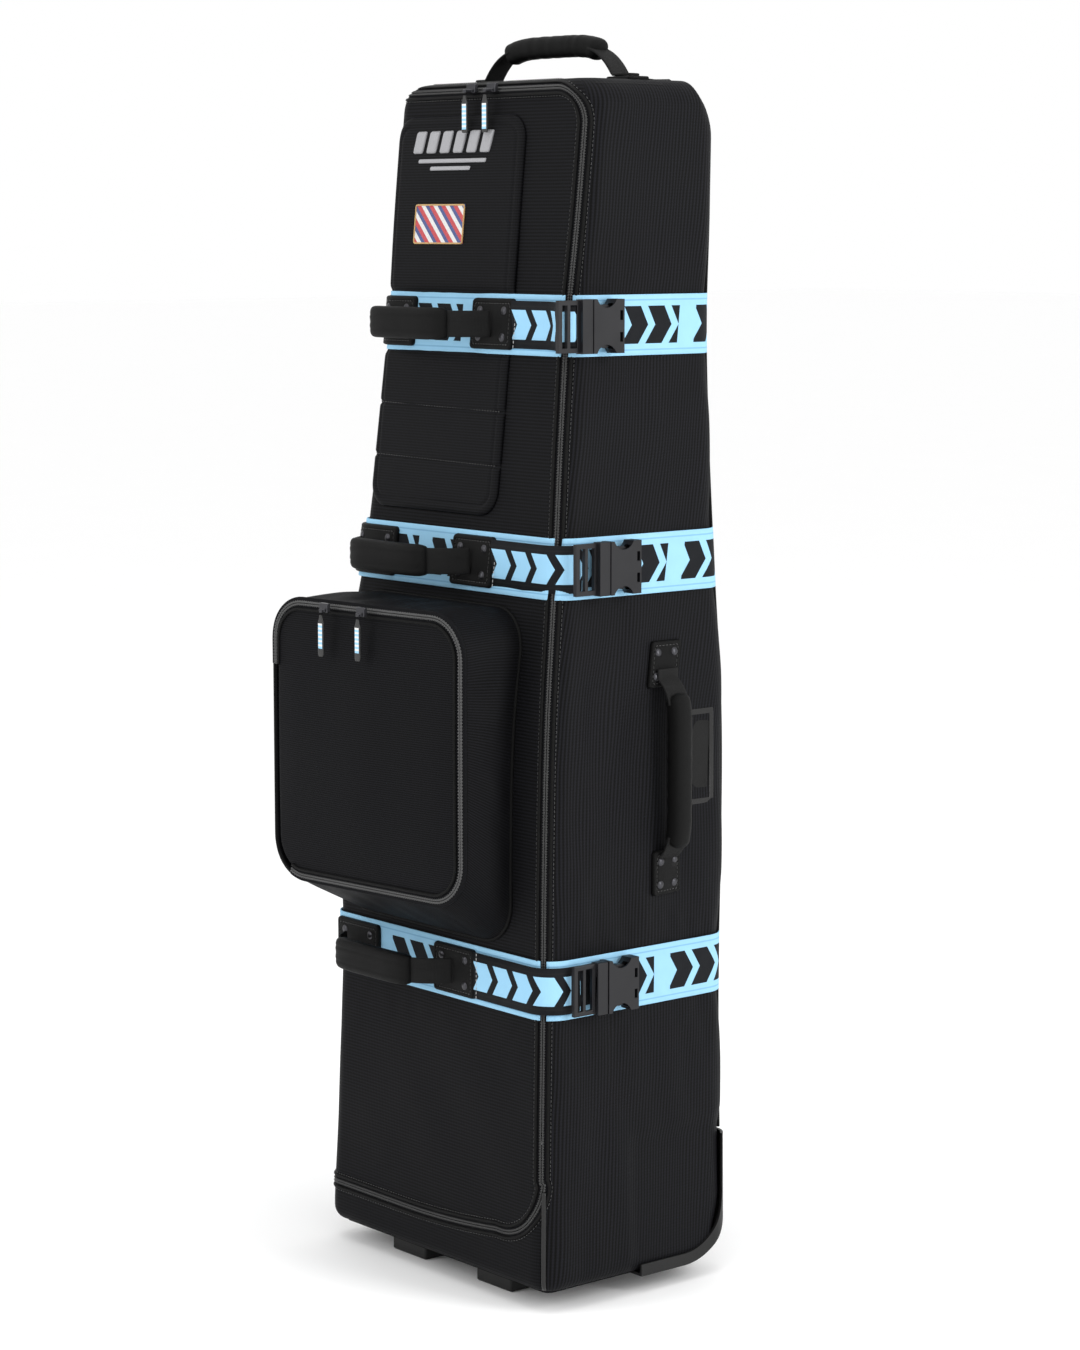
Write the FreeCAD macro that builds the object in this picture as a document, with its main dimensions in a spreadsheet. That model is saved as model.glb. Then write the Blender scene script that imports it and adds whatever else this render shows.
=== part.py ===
import FreeCAD, Part
import Sketcher
import os
import re

# A soft golf travel case that stands upright, in millimetres. +Z is up and the front faces -Y.
# The case's own coordinates have x = 0 in its mid-plane, y = 0 on its rear face and z = 0 on the floor;
# frame_x and frame_y then shift every sub-part, so that the origin is the middle of the whole footprint.

SIZES = {
    # where the case's mid-plane and rear face stand in the part's frame
    "frame_x": -19.0,
    "frame_y": 176.0,
    # four levels of the shell, with its half width and depth at each
    "foot_level": 22.0,
    "knee_level": 622.0,
    "waist_level": 982.0,
    "crown_level": 1292.0,
    "foot_half": 194.0,
    "knee_half": 188.0,
    "waist_half": 164.0,
    "crown_half": 166.0,
    "foot_depth": 264.0,
    "knee_depth": 250.0,
    "waist_depth": 207.0,
    "crown_depth": 176.0,
    "corner_round": 25.0,
    "heel_round": 70.0,
    "nape_round": 60.0,
    "wall": 5.0,
    # heights of the layers that lie on the shell, measured outwards from its surface
    "zip_out": 1.2,
    "strap_in": 1.4,
    "strap_out": 3.2,
    "pad_in": 3.4,
    "tail_in": 5.2,
    "tail_out": 6.8,
    "pad_out": 8.0,
    "rivet_out": 9.6,
    # the door in the front, with the zip that closes it
    "seam_inset": 12.0,
    "seam_gap": 1.0,
    "door_bottom": 67.0,
    "door_top": 1285.0,
    "zip_band": 7.0,
    "door_hinge_y": 190.0,
    "door_hinge_x": 202.0,
    # webbing straps and what is sewn on them
    "strap_width": 63.5,
    "upper_strap": 1037.0,
    "middle_strap": 787.0,
    "lower_strap": 347.0,
    "pad_height": 54.0,
    "right_pad_start": 2.0,
    "right_pad_end": 72.0,
    "left_pad_start": -172.0,
    "left_pad_end": -96.0,
    "tail_width": 50.0,
    "tail_gap": 0.5,
    "rivet_radius": 4.5,
    "rivet_inset": 11.0,
    # side-release buckles on the right face
    "upper_buckle": 205.0,
    "middle_buckle": 193.0,
    "lower_buckle": 205.0,
    "buckle_lift": 7.1,
    "buckle_width": 56.0,
    "buckle_length": 56.0,
    "buckle_thick": 12.0,
    "socket_drop": 3.6,
    "shoulder": 14.0,
    "shoulder_gap": 0.4,
    "adjuster": 28.0,
    "cavity_floor": 2.0,
    "cavity_roof": 10.3,
    "cavity_half": 23.5,
    "cavity_end": 47.0,
    "waist_radius": 14.0,
    "waist_place": 32.0,
    "waist_offset": 5.0,
    "prong_low": 2.8,
    "prong_high": 7.8,
    "tongue_half": 4.5,
    "prong_end": 44.0,
    "arm_low": 14.0,
    "arm_high": 19.0,
    "arm_bulge": 22.5,
    "arm_gap": 0.6,
    # quilted patch with an emblem and a small patch on it
    "quilt_left": -155.0,
    "quilt_right": 65.0,
    "quilt_bottom": 834.0,
    "quilt_top": 1257.0,
    "quilt_round": 28.0,
    "channel_margin": 2.5,
    "emblem_left": -128.0,
    "emblem_right": 28.0,
    "emblem_bottom": 1198.0,
    "emblem_top": 1243.0,
    "patch_left": -108.0,
    "patch_right": -22.0,
    "patch_bottom": 1120.0,
    "patch_top": 1163.0,
    # front pocket: a gusset that stands off the door, and a face that opens
    "pocket_left": -172.0,
    "pocket_right": 125.0,
    "pocket_bottom": 390.0,
    "pocket_top": 742.0,
    "pocket_deep_left": 98.0,
    "pocket_deep_right": 66.0,
    "pocket_round": 45.0,
    "pocket_cloth": 3.0,
    "flap_gap": 0.4,
    "flap_thick": 6.0,
    "pocket_zip_thick": 2.0,
    "pocket_zip_band": 11.0,
    # zip sliders and their pull tabs
    "main_slider_left": -26.0,
    "main_slider_right": 8.0,
    "pocket_slider_left": -72.0,
    "pocket_slider_right": -15.0,
    "slider_long": 14.0,
    "slider_tall": 10.0,
    "slider_thick": 5.0,
    "slider_clear": 1.1,
    "lug_width": 5.0,
    "lug_tall": 4.0,
    "main_lug_reach": 9.0,
    "pocket_lug_reach": 4.0,
    "tab_drop": 2.0,
    "tab_width": 9.0,
    "tab_thick": 2.4,
    "main_tab_long": 40.0,
    "pocket_tab_long": 45.0,
    # padded handles: the middle, how far the grip stands off its hinge line, and the pads at its ends
    "side_handle_z": 569.0,
    "side_handle_y": -98.0,
    "side_handle_half": 80.0,
    "side_grip_radius": 13.0,
    "side_grip_reach": 24.0,
    "side_pad_width": 42.0,
    "side_pad_near": 87.0,
    "side_pad_far": 136.0,
    "top_handle_y": -88.0,
    "top_handle_half": 76.0,
    "top_grip_radius": 12.0,
    "top_grip_reach": 31.0,
    "anchor_near": 97.0,
    "anchor_far": 138.0,
    "anchor_width": 30.0,
    "anchor_thick": 4.0,
    "wrap_handle_x": -47.0,
    "wrap_grip_half": 61.0,
    "wrap_grip_wide": 42.0,
    "wrap_grip_thick": 22.0,
    "wrap_grip_round": 11.0,
    "wrap_grip_reach": 26.0,
    "wrap_leg_half": 42.0,
    "hinge_lift": 6.0,
    "leg_radius": 4.0,
    "stub_end": 9.0,
    # name-tag holder
    "tag_rear": -27.0,
    "tag_front": -68.0,
    "tag_bottom": 525.0,
    "tag_top": 628.0,
    "tag_border": 6.0,
    # wheels, their housings, the kick plate and the front feet
    "wheel_x": 140.0,
    "wheel_y": -42.0,
    "wheel_radius": 38.0,
    "wheel_width": 24.0,
    "wheel_round": 6.0,
    "axle_radius": 4.0,
    "axle_clear": 0.05,
    "wheel_side_clear": 2.0,
    "wheel_rim_clear": 5.0,
    "housing_wall": 3.5,
    "kick_thick": 3.0,
    "kick_height": 155.0,
    "kick_reach": 132.0,
    "kick_lip": 10.0,
    "feet_inner": 45.0,
    "feet_outer": 105.0,
    "feet_front": -238.0,
    "feet_rear": -196.0,
    # stiffeners inside
    "board_thick": 4.0,
    "board_margin": 8.0,
    "board_gap": 7.5,
    "lining_thick": 24.0,
    # a length that reaches past the whole case, for cutting blocks
    "beyond": 700.0,
}

doc = FreeCAD.newDocument("golf_travel_case")
sheet = doc.addObject("Spreadsheet::Sheet", "Sizes")
for row, (alias, number) in enumerate(SIZES.items(), start=1):
    sheet.set("A%d" % row, alias)
    sheet.set("B%d" % row, str(number))
    sheet.setAlias("B%d" % row, alias)
doc.recompute()

WORD = re.compile(r"[a-z][a-z_]*[a-z]")
nodes = []


def bound(text):
    """The same sum, with each size's name pointing at its cell in the sheet."""
    return WORD.sub(lambda m: "Sizes." + m.group(0) if m.group(0) in SIZES else m.group(0), str(text))


def size(thing, **sums):
    """Binds the named properties of an object to sums of sizes."""
    for name, text in sums.items():
        thing.setExpression(name, bound(text))
    return thing


def place(thing, x="0", y="0", z="0"):
    """Places an object by sums in the case's own coordinates."""
    thing.setExpression("Placement.Base.x", bound("(%s) + frame_x" % x))
    thing.setExpression("Placement.Base.y", bound("(%s) + frame_y" % y))
    thing.setExpression("Placement.Base.z", bound(z))
    return thing


def local(thing, x="0", y="0", z="0"):
    """Places an object by sums in a small piece's own coordinates."""
    thing.setExpression("Placement.Base.x", bound(x))
    thing.setExpression("Placement.Base.y", bound(y))
    thing.setExpression("Placement.Base.z", bound(z))
    return thing


def block(name, x, y, z, put=place):
    """A box between two sums along each axis."""
    box = doc.addObject("Part::Box", name)
    size(box, Length="(%s) - (%s)" % (x[1], x[0]))
    size(box, Width="(%s) - (%s)" % (y[1], y[0]))
    size(box, Height="(%s) - (%s)" % (z[1], z[0]))
    return put(box, x[0], y[0], z[0])


TURNS = {
    "x": FreeCAD.Rotation(FreeCAD.Vector(0, 1, 0), 90),
    "y": FreeCAD.Rotation(FreeCAD.Vector(1, 0, 0), -90),
    "z": FreeCAD.Rotation(),
}


def rod(name, along, radius, length, x, y, z, put=place):
    """A cylinder that starts at a point and runs along one axis."""
    round_bar = doc.addObject("Part::Cylinder", name)
    round_bar.Placement = FreeCAD.Placement(FreeCAD.Vector(), TURNS[along])
    size(round_bar, Radius=radius, Height=length)
    return put(round_bar, x, y, z)


def cut(name, base, tool):
    result = doc.addObject("Part::Cut", name)
    result.Base = base
    result.Tool = tool
    return result


def common(name, first, second):
    result = doc.addObject("Part::Common", name)
    result.Base = first
    result.Tool = second
    return result


def fuse(name, *pieces):
    result = doc.addObject("Part::MultiFuse", name)
    result.Shapes = list(pieces)
    return result


def group(name, *pieces):
    result = doc.addObject("Part::Compound", name)
    result.Links = list(pieces)
    return result


def node(thing, label):
    """Marks an object as a sub-part of the case, under the name of its file."""
    thing.Label = label
    nodes.append(thing)
    return thing


def rounded_rectangle(name, left, right, low, high, corner):
    """A sketch of four lines joined by four tangent arcs, every size bound to the sheet."""
    sketch = doc.addObject("Sketcher::SketchObject", name)
    corners = [(-1, -1), (1, -1), (1, 1), (-1, 1)]
    for turn in range(4):
        here, there = corners[turn], corners[(turn + 1) % 4]
        begin = FreeCAD.Vector(10 * here[0] + 2 * there[0], 10 * here[1] + 2 * there[1], 0) * 5
        end = FreeCAD.Vector(10 * there[0] + 2 * here[0], 10 * there[1] + 2 * here[1], 0) * 5
        sketch.addGeometry(Part.LineSegment(begin, end), False)
        middle = FreeCAD.Vector(50 * there[0], 50 * there[1], 0)
        arc = Part.Circle(middle, FreeCAD.Vector(0, 0, 1), 10)
        start = -1.5707963 + turn * 1.5707963
        sketch.addGeometry(Part.ArcOfCircle(arc, start, start + 1.5707963), False)
    for edge in range(8):
        sketch.addConstraint(Sketcher.Constraint("Tangent", edge, 2, (edge + 1) % 8, 1))
    for edge, way in ((0, "Horizontal"), (2, "Vertical"), (4, "Horizontal"), (6, "Vertical")):
        sketch.addConstraint(Sketcher.Constraint(way, edge))
    sums = []
    for edge in (1, 3, 5, 7):
        sums.append((sketch.addConstraint(Sketcher.Constraint("Radius", edge, 10.0)), corner))
    sums.append((sketch.addConstraint(Sketcher.Constraint("DistanceX", -1, 1, 2, 1, 60.0)), right))
    sums.append((sketch.addConstraint(Sketcher.Constraint("DistanceX", -1, 1, 6, 1, -60.0)), left))
    sums.append((sketch.addConstraint(Sketcher.Constraint("DistanceY", -1, 1, 0, 1, -60.0)), low))
    sums.append((sketch.addConstraint(Sketcher.Constraint("DistanceY", -1, 1, 4, 1, 60.0)), high))
    for index, text in sums:
        sketch.setExpression("Constraints[%d]" % index, bound(text))
    return sketch


def outline(name, points):
    """A closed sketch of straight lines whose corners are bound to the sheet."""
    sketch = doc.addObject("Sketcher::SketchObject", name)
    count = len(points)
    for i in range(count):
        angle = 6.2831853 * i / count
        step = 6.2831853 * (i + 1) / count
        a = FreeCAD.Rotation(FreeCAD.Vector(0, 0, 1), angle * 57.29578).multVec(FreeCAD.Vector(90, 0, 0))
        b = FreeCAD.Rotation(FreeCAD.Vector(0, 0, 1), step * 57.29578).multVec(FreeCAD.Vector(90, 0, 0))
        sketch.addGeometry(Part.LineSegment(a, b), False)
    for i in range(count):
        sketch.addConstraint(Sketcher.Constraint("Coincident", i, 2, (i + 1) % count, 1))
    for i, (across, along) in enumerate(points):
        here = sketch.getPoint(i, 1)
        x = sketch.addConstraint(Sketcher.Constraint("DistanceX", -1, 1, i, 1, here.x))
        sketch.setExpression("Constraints[%d]" % x, bound(across))
        y = sketch.addConstraint(Sketcher.Constraint("DistanceY", -1, 1, i, 1, here.y))
        sketch.setExpression("Constraints[%d]" % y, bound(along))
    return sketch


def raise_sketch(name, sketch, way, length):
    """A solid swept straight from a sketch."""
    solid = doc.addObject("Part::Extrusion", name)
    solid.Base = sketch
    solid.DirMode = "Custom"
    solid.Dir = FreeCAD.Vector(*way)
    solid.Solid = True
    return size(solid, LengthFwd=length)


UPRIGHT = FreeCAD.Rotation(FreeCAD.Vector(1, 0, 0), 90)
LEVELS = ("foot", "knee", "waist", "crown")


def case_form(name, grow, low="foot_level", high="crown_level"):
    """The shell's outer form, grown outwards: a ruled loft through four rounded rectangles."""
    sections = []
    for level in LEVELS:
        half, deep = level + "_half", level + "_depth"
        sketch = rounded_rectangle(
            "%s_%s" % (name, level),
            "0 - %s - (%s)" % (half, grow),
            "%s + (%s)" % (half, grow),
            "0 - %s - (%s)" % (deep, grow),
            grow,
            "corner_round + (%s)" % grow,
        )
        place(sketch, z={"foot": low, "crown": high}.get(level, level + "_level"))
        sections.append(sketch)
    loft = doc.addObject("Part::Loft", name)
    loft.Sections = sections
    loft.Solid = True
    loft.Ruled = True
    return loft


def between(low, high, height, what):
    """The half width or depth at a height between two levels."""
    return "(%s_%s + (%s_%s - %s_%s) * ((%s) - %s_level) / (%s_level - %s_level))" % (
        low, what, high, what, low, what, height, low, high, low)


def form_at(what, height):
    """The shell's half width or depth at a height, wherever it falls."""
    return "((%s) < knee_level ? %s : ((%s) < waist_level ? %s : %s))" % (
        height, between("foot", "knee", height, what),
        height, between("knee", "waist", height, what),
        between("waist", "crown", height, what))


def corner_cutter(name, y, z, radius, y_way, z_way):
    """A block with a quarter round taken out of it, that rounds an edge along X."""
    reach = "(%s) + 40" % radius
    side = {1: (y, "(%s) + %s" % (y, reach)), -1: ("(%s) - (%s)" % (y, reach), y)}[y_way]
    tall = {1: (z, "(%s) + %s" % (z, reach)), -1: ("(%s) - (%s)" % (z, reach), z)}[z_way]
    corner = block(name + "_block", ("0 - beyond", "beyond"), side, tall)
    bar = rod(name + "_bar", "x", radius, "2 * beyond", "0 - beyond", y, z)
    return cut(name, corner, bar)


def rounded_form(name, form, grow):
    """The form with its lower rear and upper rear edges rounded."""
    heel = corner_cutter(name + "_heel", "0 - heel_round", "foot_level + heel_round",
                         "heel_round + (%s)" % grow, 1, -1)
    nape = corner_cutter(name + "_nape", "0 - nape_round", "crown_level - nape_round",
                         "nape_round + (%s)" % grow, 1, 1)
    return cut(name, cut(name + "_heeled", form, heel), nape)


def core(name, inset, low, high):
    """A prism through the case, inset from its sides, that follows their lean."""
    right, left = [], []
    for level in LEVELS:
        height = {"foot": low, "crown": high}.get(level, level + "_level")
        half = level + "_half"
        right.append(("%s - (%s)" % (half, inset), height))
        left.append(("0 - %s + (%s)" % (half, inset), height))
    sketch = outline(name + "_outline", right + left[::-1])
    sketch.Placement = FreeCAD.Placement(FreeCAD.Vector(), UPRIGHT)
    place(sketch, y="beyond / 2")
    return raise_sketch(name, sketch, (0, -1, 0), "beyond + beyond / 2")


def upright_panel(name, left, right, low, high, corner):
    """A prism from front to back with a rounded rectangle for its outline."""
    sketch = rounded_rectangle(name + "_outline", left, right, low, high, corner)
    sketch.Placement = FreeCAD.Placement(FreeCAD.Vector(), UPRIGHT)
    place(sketch)
    return raise_sketch(name, sketch, (0, -1, 0), "beyond")


ALL_X = ("0 - beyond", "beyond")
ALL_Y = ("0 - beyond", "beyond / 2")
ALL_Z = ("0 - beyond", "2 * beyond")

# ---- the shell's form and the layers on it ----
outer = case_form("outer", "0")
inner = case_form("inner", "0 - wall", "foot_level + wall", "crown_level - wall")
layers = {}
for layer in ("zip_out", "strap_in", "strap_out", "pad_in", "tail_in", "tail_out", "pad_out", "rivet_out"):
    layers[layer] = case_form("form_" + layer, layer)
outer_round = rounded_form("outer_round", outer, "0")
inner_round = rounded_form("inner_round", inner, "0 - wall")
tub = cut("tub", outer_round, inner_round)


def skin(name, low, high):
    """The layer between two heights above the shell."""
    return cut(name, layers[high], layers[low] if low else outer)


# ---- wheel wells, cut out of the shell and the kick plate ----
def well(name, side, rim, edge):
    """The room that a wheel turns in, open below and behind."""
    x = ["%d * wheel_x - wheel_width / 2 - (%s)" % (side, edge),
         "%d * wheel_x + wheel_width / 2 + (%s)" % (side, edge)]
    y = ("wheel_y - wheel_radius - (%s)" % rim, "beyond / 4")
    z = ("0 - beyond", "2 * wheel_radius + (%s)" % rim)
    return block(name, x, y, z)


wells = fuse(
    "wells",
    well("well_right", 1, "wheel_rim_clear", "wheel_side_clear"),
    well("well_left", -1, "wheel_rim_clear", "wheel_side_clear"),
)

# ---- fabric panels of the shell ----
seam_core = core("seam_core", "seam_inset", "0 - beyond", "2 * beyond")
door_core = core("door_core", "seam_inset + seam_gap", "0 - beyond", "2 * beyond")
sides = cut("sides", tub, seam_core)
node(common("right_side", sides, block("right_half", ("0", "beyond"), ALL_Y, ALL_Z)), "right_side_panel")
left_half = block("left_half", ("0 - beyond", "0"), ALL_Y, ALL_Z)
door_fold = block(
    "door_fold", ("0 - beyond", "0"), ("0 - beyond", "0 - door_hinge_y"), ("door_bottom", "door_top"))
node(cut("left_side", common("left_sides", sides, left_half), door_fold), "left_side_panel")

middle_tub = common("middle_tub", tub, seam_core)
rear_band = block("rear_band", ALL_X, ("0 - nape_round", "beyond / 2"), ("door_bottom", "2 * beyond"))
node(cut("back", common("back_part", middle_tub, rear_band), wells), "back_panel")
base_band = block("base_band", ALL_X, ALL_Y, ("0", "door_bottom"))
node(cut("base", common("base_part", middle_tub, base_band), wells), "base_panel")
top_band = block("top_band", ALL_X, ("0 - beyond", "0 - nape_round"), ("door_top", "crown_level + beyond"))
node(common("top", middle_tub, top_band), "top_panel")

# ---- the door: the front, with a fold round the left corner back to its hinge ----
door_height = ("door_bottom + seam_gap / 2", "door_top - seam_gap / 2")
door_front = common(
    "door_front", common("door_cored", tub, door_core),
    block("door_slab", ALL_X, ("0 - beyond", "0 - nape_round - 40"), door_height))
door_wrap = common(
    "door_wrap", cut("door_side", tub, door_core),
    block("wrap_slab", ("0 - beyond", "0"), ("0 - beyond", "0 - door_hinge_y - seam_gap"), door_height))
node(fuse("door", door_front, door_wrap), "front_panel")

# ---- main zip: one half on the shell, one on the door ----
zip_skin = skin("zip_skin", None, "zip_out")
ZIP_FRONT = ("0 - beyond", "0 - nape_round - 40")
zip_front = fuse(
    "zip_front",
    block("zip_front_low", ("seam_inset + seam_gap + zip_band - knee_half", "beyond"), ZIP_FRONT,
          ("0 - beyond", "knee_level")),
    block("zip_front_high", ("seam_inset + seam_gap + zip_band - waist_half", "beyond"), ZIP_FRONT,
          ("knee_level", "2 * beyond")))
zip_part = common("zip_part", zip_skin, zip_front)
shell_ring = cut(
    "shell_ring",
    core("shell_ring_out", "seam_inset - zip_band", "door_bottom - zip_band", "door_top + zip_band - 1"),
    core("shell_ring_in", "seam_inset", "door_bottom", "door_top"))
node(common("shell_zip", zip_part, shell_ring), "shell_zip")
door_ring = cut(
    "door_ring",
    core("door_ring_out", "seam_inset + seam_gap", *door_height),
    core("door_ring_in", "seam_inset + seam_gap + zip_band",
         "door_bottom + zip_band", "door_top - zip_band"))
node(common("door_zip", zip_part, door_ring), "panel_zip")

# ---- straps, wrap-handle pads, rivets and tails, on three levels ----
STRAPS = {"upper": "upper_strap", "middle": "middle_strap", "lower": "lower_strap"}
strap_skin = skin("strap_skin", "strap_in", "strap_out")
pad_skin = skin("pad_skin", "pad_in", "pad_out")
rivet_skin = skin("rivet_skin", "pad_out", "rivet_out")
tail_skin = skin("tail_skin", "tail_in", "tail_out")


def band(name, strap, width, x=ALL_X, y=ALL_Y):
    return block(name, x, y, ("%s - %s / 2" % (strap, width), "%s + %s / 2" % (strap, width)))


door_space = fuse(
    "door_space",
    common("door_space_core", door_core,
           block("door_space_slab", ALL_X, ("0 - beyond", "0 - nape_round - 40"), ALL_Z)),
    block("door_space_fold", ("0 - beyond", "0"), ("0 - beyond", "0 - door_hinge_y - seam_gap"), ALL_Z))
shell_space = fuse(
    "shell_space", seam_core,
    block("shell_space_fold", ("0 - beyond", "0"), ("0 - beyond", "0 - door_hinge_y"), ALL_Z))
rear_space = block("rear_space", ALL_X, ("0 - nape_round - 40", "beyond / 2"), ALL_Z)

front_runs, rear_runs, tails, door_rivets = [], [], [], []
for level, strap in STRAPS.items():
    ring = common("%s_ring" % level, strap_skin, band("%s_band" % level, strap, "strap_width"))
    front_runs.append(common("%s_front_run" % level, ring, door_space))
    side_run = cut("%s_side_run" % level, ring, shell_space)
    rear_runs.append(fuse("%s_rear_run" % level, side_run, common("%s_back_run" % level, ring, rear_space)))
    pads = fuse(
        "%s_pad_blocks" % level,
        band("%s_right_pad" % level, strap, "pad_height", ("right_pad_start", "right_pad_end"),
             ("0 - beyond", "0 - nape_round - 40")),
        band("%s_left_pad" % level, strap, "pad_height", ("left_pad_start", "left_pad_end"),
             ("0 - beyond", "0 - nape_round - 40")))
    pads_on_door = common("%s_pads_on_door" % level, pads, door_space)
    node(common("%s_pads" % level, pad_skin, pads_on_door), "%s_handle_pads" % level)
    for number, across in enumerate((
            "right_pad_start + rivet_inset", "right_pad_end - rivet_inset",
            "left_pad_start + rivet_inset", "left_pad_end - rivet_inset")):
        for side in (-1, 1):
            height = "%s + %d * (pad_height / 2 - rivet_inset)" % (strap, side)
            name = "%s_rivet_%d_%s" % (level, number, "ab"[side > 0])
            door_rivets.append(rod(name, "y", "rivet_radius", "beyond / 2",
                                   across, "0 - beyond + beyond / 4", height))
    tail_space = block(
        "%s_tail_space" % level, ("right_pad_end + tail_gap", "beyond"),
        ("0 - beyond", "0 - %s_buckle - tail_gap" % level),
        ("%s - tail_width / 2" % strap, "%s + tail_width / 2" % strap))
    tails.append(common("%s_tail" % level, tail_skin, tail_space))
node(group("front_straps_group", *front_runs), "front_straps")
node(group("rear_straps_group", *rear_runs), "rear_straps")
node(group("tail_straps_group", *tails), "tail_straps")
node(common("wrap_rivets", rivet_skin, fuse("wrap_rivet_bars", *door_rivets)), "wrap_handle_rivets")

# ---- quilted patch, with a channel under the upper strap, and the two badges on it ----
quilt_panel = upright_panel(
    "quilt_panel", "quilt_left", "quilt_right", "quilt_bottom", "quilt_top", "quilt_round")
quilt_front = common(
    "quilt_front", skin("quilt_skin", None, "tail_out"),
    block("quilt_slab", ALL_X, ("0 - beyond", "0 - nape_round - 40"), ALL_Z))
channel = common(
    "channel", skin("channel_skin", "zip_out", "tail_out"),
    band("channel_band", "upper_strap", "(strap_width + 2 * channel_margin)"))
node(cut("quilt", common("quilt_block", quilt_front, quilt_panel), channel), "quilted_patch")
badge_skin = skin("badge_skin", "tail_out", "pad_out")
badges = []
for badge in ("emblem", "patch"):
    badges.append(common(
        badge + "_badge", badge_skin,
        block(badge + "_block", (badge + "_left", badge + "_right"),
              ("0 - beyond", "0 - nape_round - 40"), (badge + "_bottom", badge + "_top"))))
node(badges[0], "chest_emblem")
node(badges[1], "chest_patch")


# ---- front pocket ----
def pocket_prism(name, inset):
    """The pocket's outline seen from the front, carried from front to back."""
    return upright_panel(
        name, "pocket_left + (%s)" % inset, "pocket_right - (%s)" % inset,
        "pocket_bottom + (%s)" % inset, "pocket_top - (%s)" % inset, "pocket_round - (%s)" % inset)


def pocket_slab(name, near, far):
    """A slab of the pocket that is parallel to its slanted face, between two distances from it."""
    points = [
        ("pocket_left", near.replace("FACE", "(0 - knee_depth - pocket_deep_left)")),
        ("pocket_right", near.replace("FACE", "(0 - knee_depth - pocket_deep_right)")),
        ("pocket_right", far.replace("FACE", "(0 - knee_depth - pocket_deep_right)")),
        ("pocket_left", far.replace("FACE", "(0 - knee_depth - pocket_deep_left)")),
    ]
    sketch = outline(name + "_outline", points)
    place(sketch)
    return raise_sketch(name, sketch, (0, 0, 1), "2 * beyond")


pocket_outside = pocket_prism("pocket_outside", "0")
gusset_ring = cut("gusset_ring", pocket_outside, pocket_prism("pocket_inside", "pocket_cloth"))
gusset_slab = pocket_slab("gusset_slab", "0 - nape_round", "FACE")
node(cut("gusset", common("gusset_block", gusset_ring, gusset_slab), outer), "pocket_gusset")
flap_slab = pocket_slab("flap_slab", "FACE - flap_gap", "FACE - flap_gap - flap_thick")
node(common("flap", flap_slab, pocket_outside), "pocket_flap")
zip_ring = cut("zip_ring", pocket_outside, pocket_prism("zip_ring_hole", "pocket_zip_band"))
zip_slab = pocket_slab(
    "zip_slab", "FACE - flap_gap - flap_thick", "FACE - flap_gap - flap_thick - pocket_zip_thick")
node(common("pocket_zip_part", zip_slab, zip_ring), "pocket_zip")


# ---- zip sliders and pull tabs ----
def slider(label, x, y, z, reach, tab):
    """A slider in front of its zip, with a lug that the pull tab hangs from."""
    body = block(label + "_body", ("0 - slider_long / 2", "slider_long / 2"), ("0 - slider_thick", "0"),
                 ("0 - slider_tall / 2", "slider_tall / 2"), local)
    lug = block(label + "_lug", ("0 - lug_width / 2", "lug_width / 2"),
                ("0 - slider_thick - %s" % reach, "0 - slider_thick"),
                ("0 - slider_tall / 2", "0 - slider_tall / 2 + lug_tall"), local)
    node(place(fuse(label + "_fused", body, lug), x, y, z), label)
    pull = block(label + "_tab", ("0 - tab_width / 2", "tab_width / 2"), ("0 - tab_thick", "0"),
                 ("0 - (%s)" % tab, "0"), local)
    place(pull, "(%s) - tab_width / 2" % x, "(%s) - slider_thick - %s" % (y, reach),
          "(%s) - slider_tall / 2 - tab_drop - (%s)" % (z, tab))
    node(pull, label.replace("slider", "pull_tab"))


MAIN_Y = "0 - %s - zip_out - slider_clear" % form_at("depth", "door_top - slider_tall")
slider("main_slider_left", "main_slider_left", MAIN_Y, "door_top", "main_lug_reach", "main_tab_long")
slider("main_slider_right", "main_slider_right", MAIN_Y, "door_top", "main_lug_reach", "main_tab_long")


def pocket_face(x):
    """Where the front of the pocket's zip is, at a place across the pocket."""
    return ("0 - knee_depth - pocket_deep_left"
            " + ((%s) - pocket_left) * (pocket_deep_left - pocket_deep_right) / (pocket_right - pocket_left)"
            " - flap_gap - flap_thick - pocket_zip_thick - slider_clear" % x)


for name in ("pocket_slider_left", "pocket_slider_right"):
    slider(name, name, pocket_face(name), "pocket_top - pocket_zip_band / 2 - 1", "pocket_lug_reach",
           "pocket_tab_long")


# ---- side-release buckles ----
def socket(level):
    """The half that is sewn to the shell: a flat box with a mouth, waist cuts and two webbing slots."""
    name = level + "_socket"
    body = block(name + "_body", ("0 - socket_drop", "buckle_thick"),
                 ("shoulder + shoulder_gap", "buckle_length"),
                 ("0 - buckle_width / 2", "buckle_width / 2"), local)
    cavity = block(name + "_cavity", ("cavity_floor", "cavity_roof"), ("0", "cavity_end"),
                   ("0 - cavity_half", "cavity_half"), local)
    cuts = [cavity]
    for side in (-1, 1):
        cuts.append(rod("%s_waist_%d" % (name, side + 1), "x", "waist_radius", "4 * buckle_thick",
                        "0 - 2 * buckle_thick", "waist_place",
                        "%d * (buckle_width / 2 + waist_offset)" % side, local))
        cuts.append(block("%s_slot_%d" % (name, side + 1), ("0 - 2 * buckle_thick", "3 * buckle_thick"),
                          ("cavity_end + 3", "buckle_length - 2"),
                          ("%d * buckle_width / 5 - 5" % side, "%d * buckle_width / 5 + 5" % side), local))
    return cut(name, body, fuse(name + "_cuts", *cuts))


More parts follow.
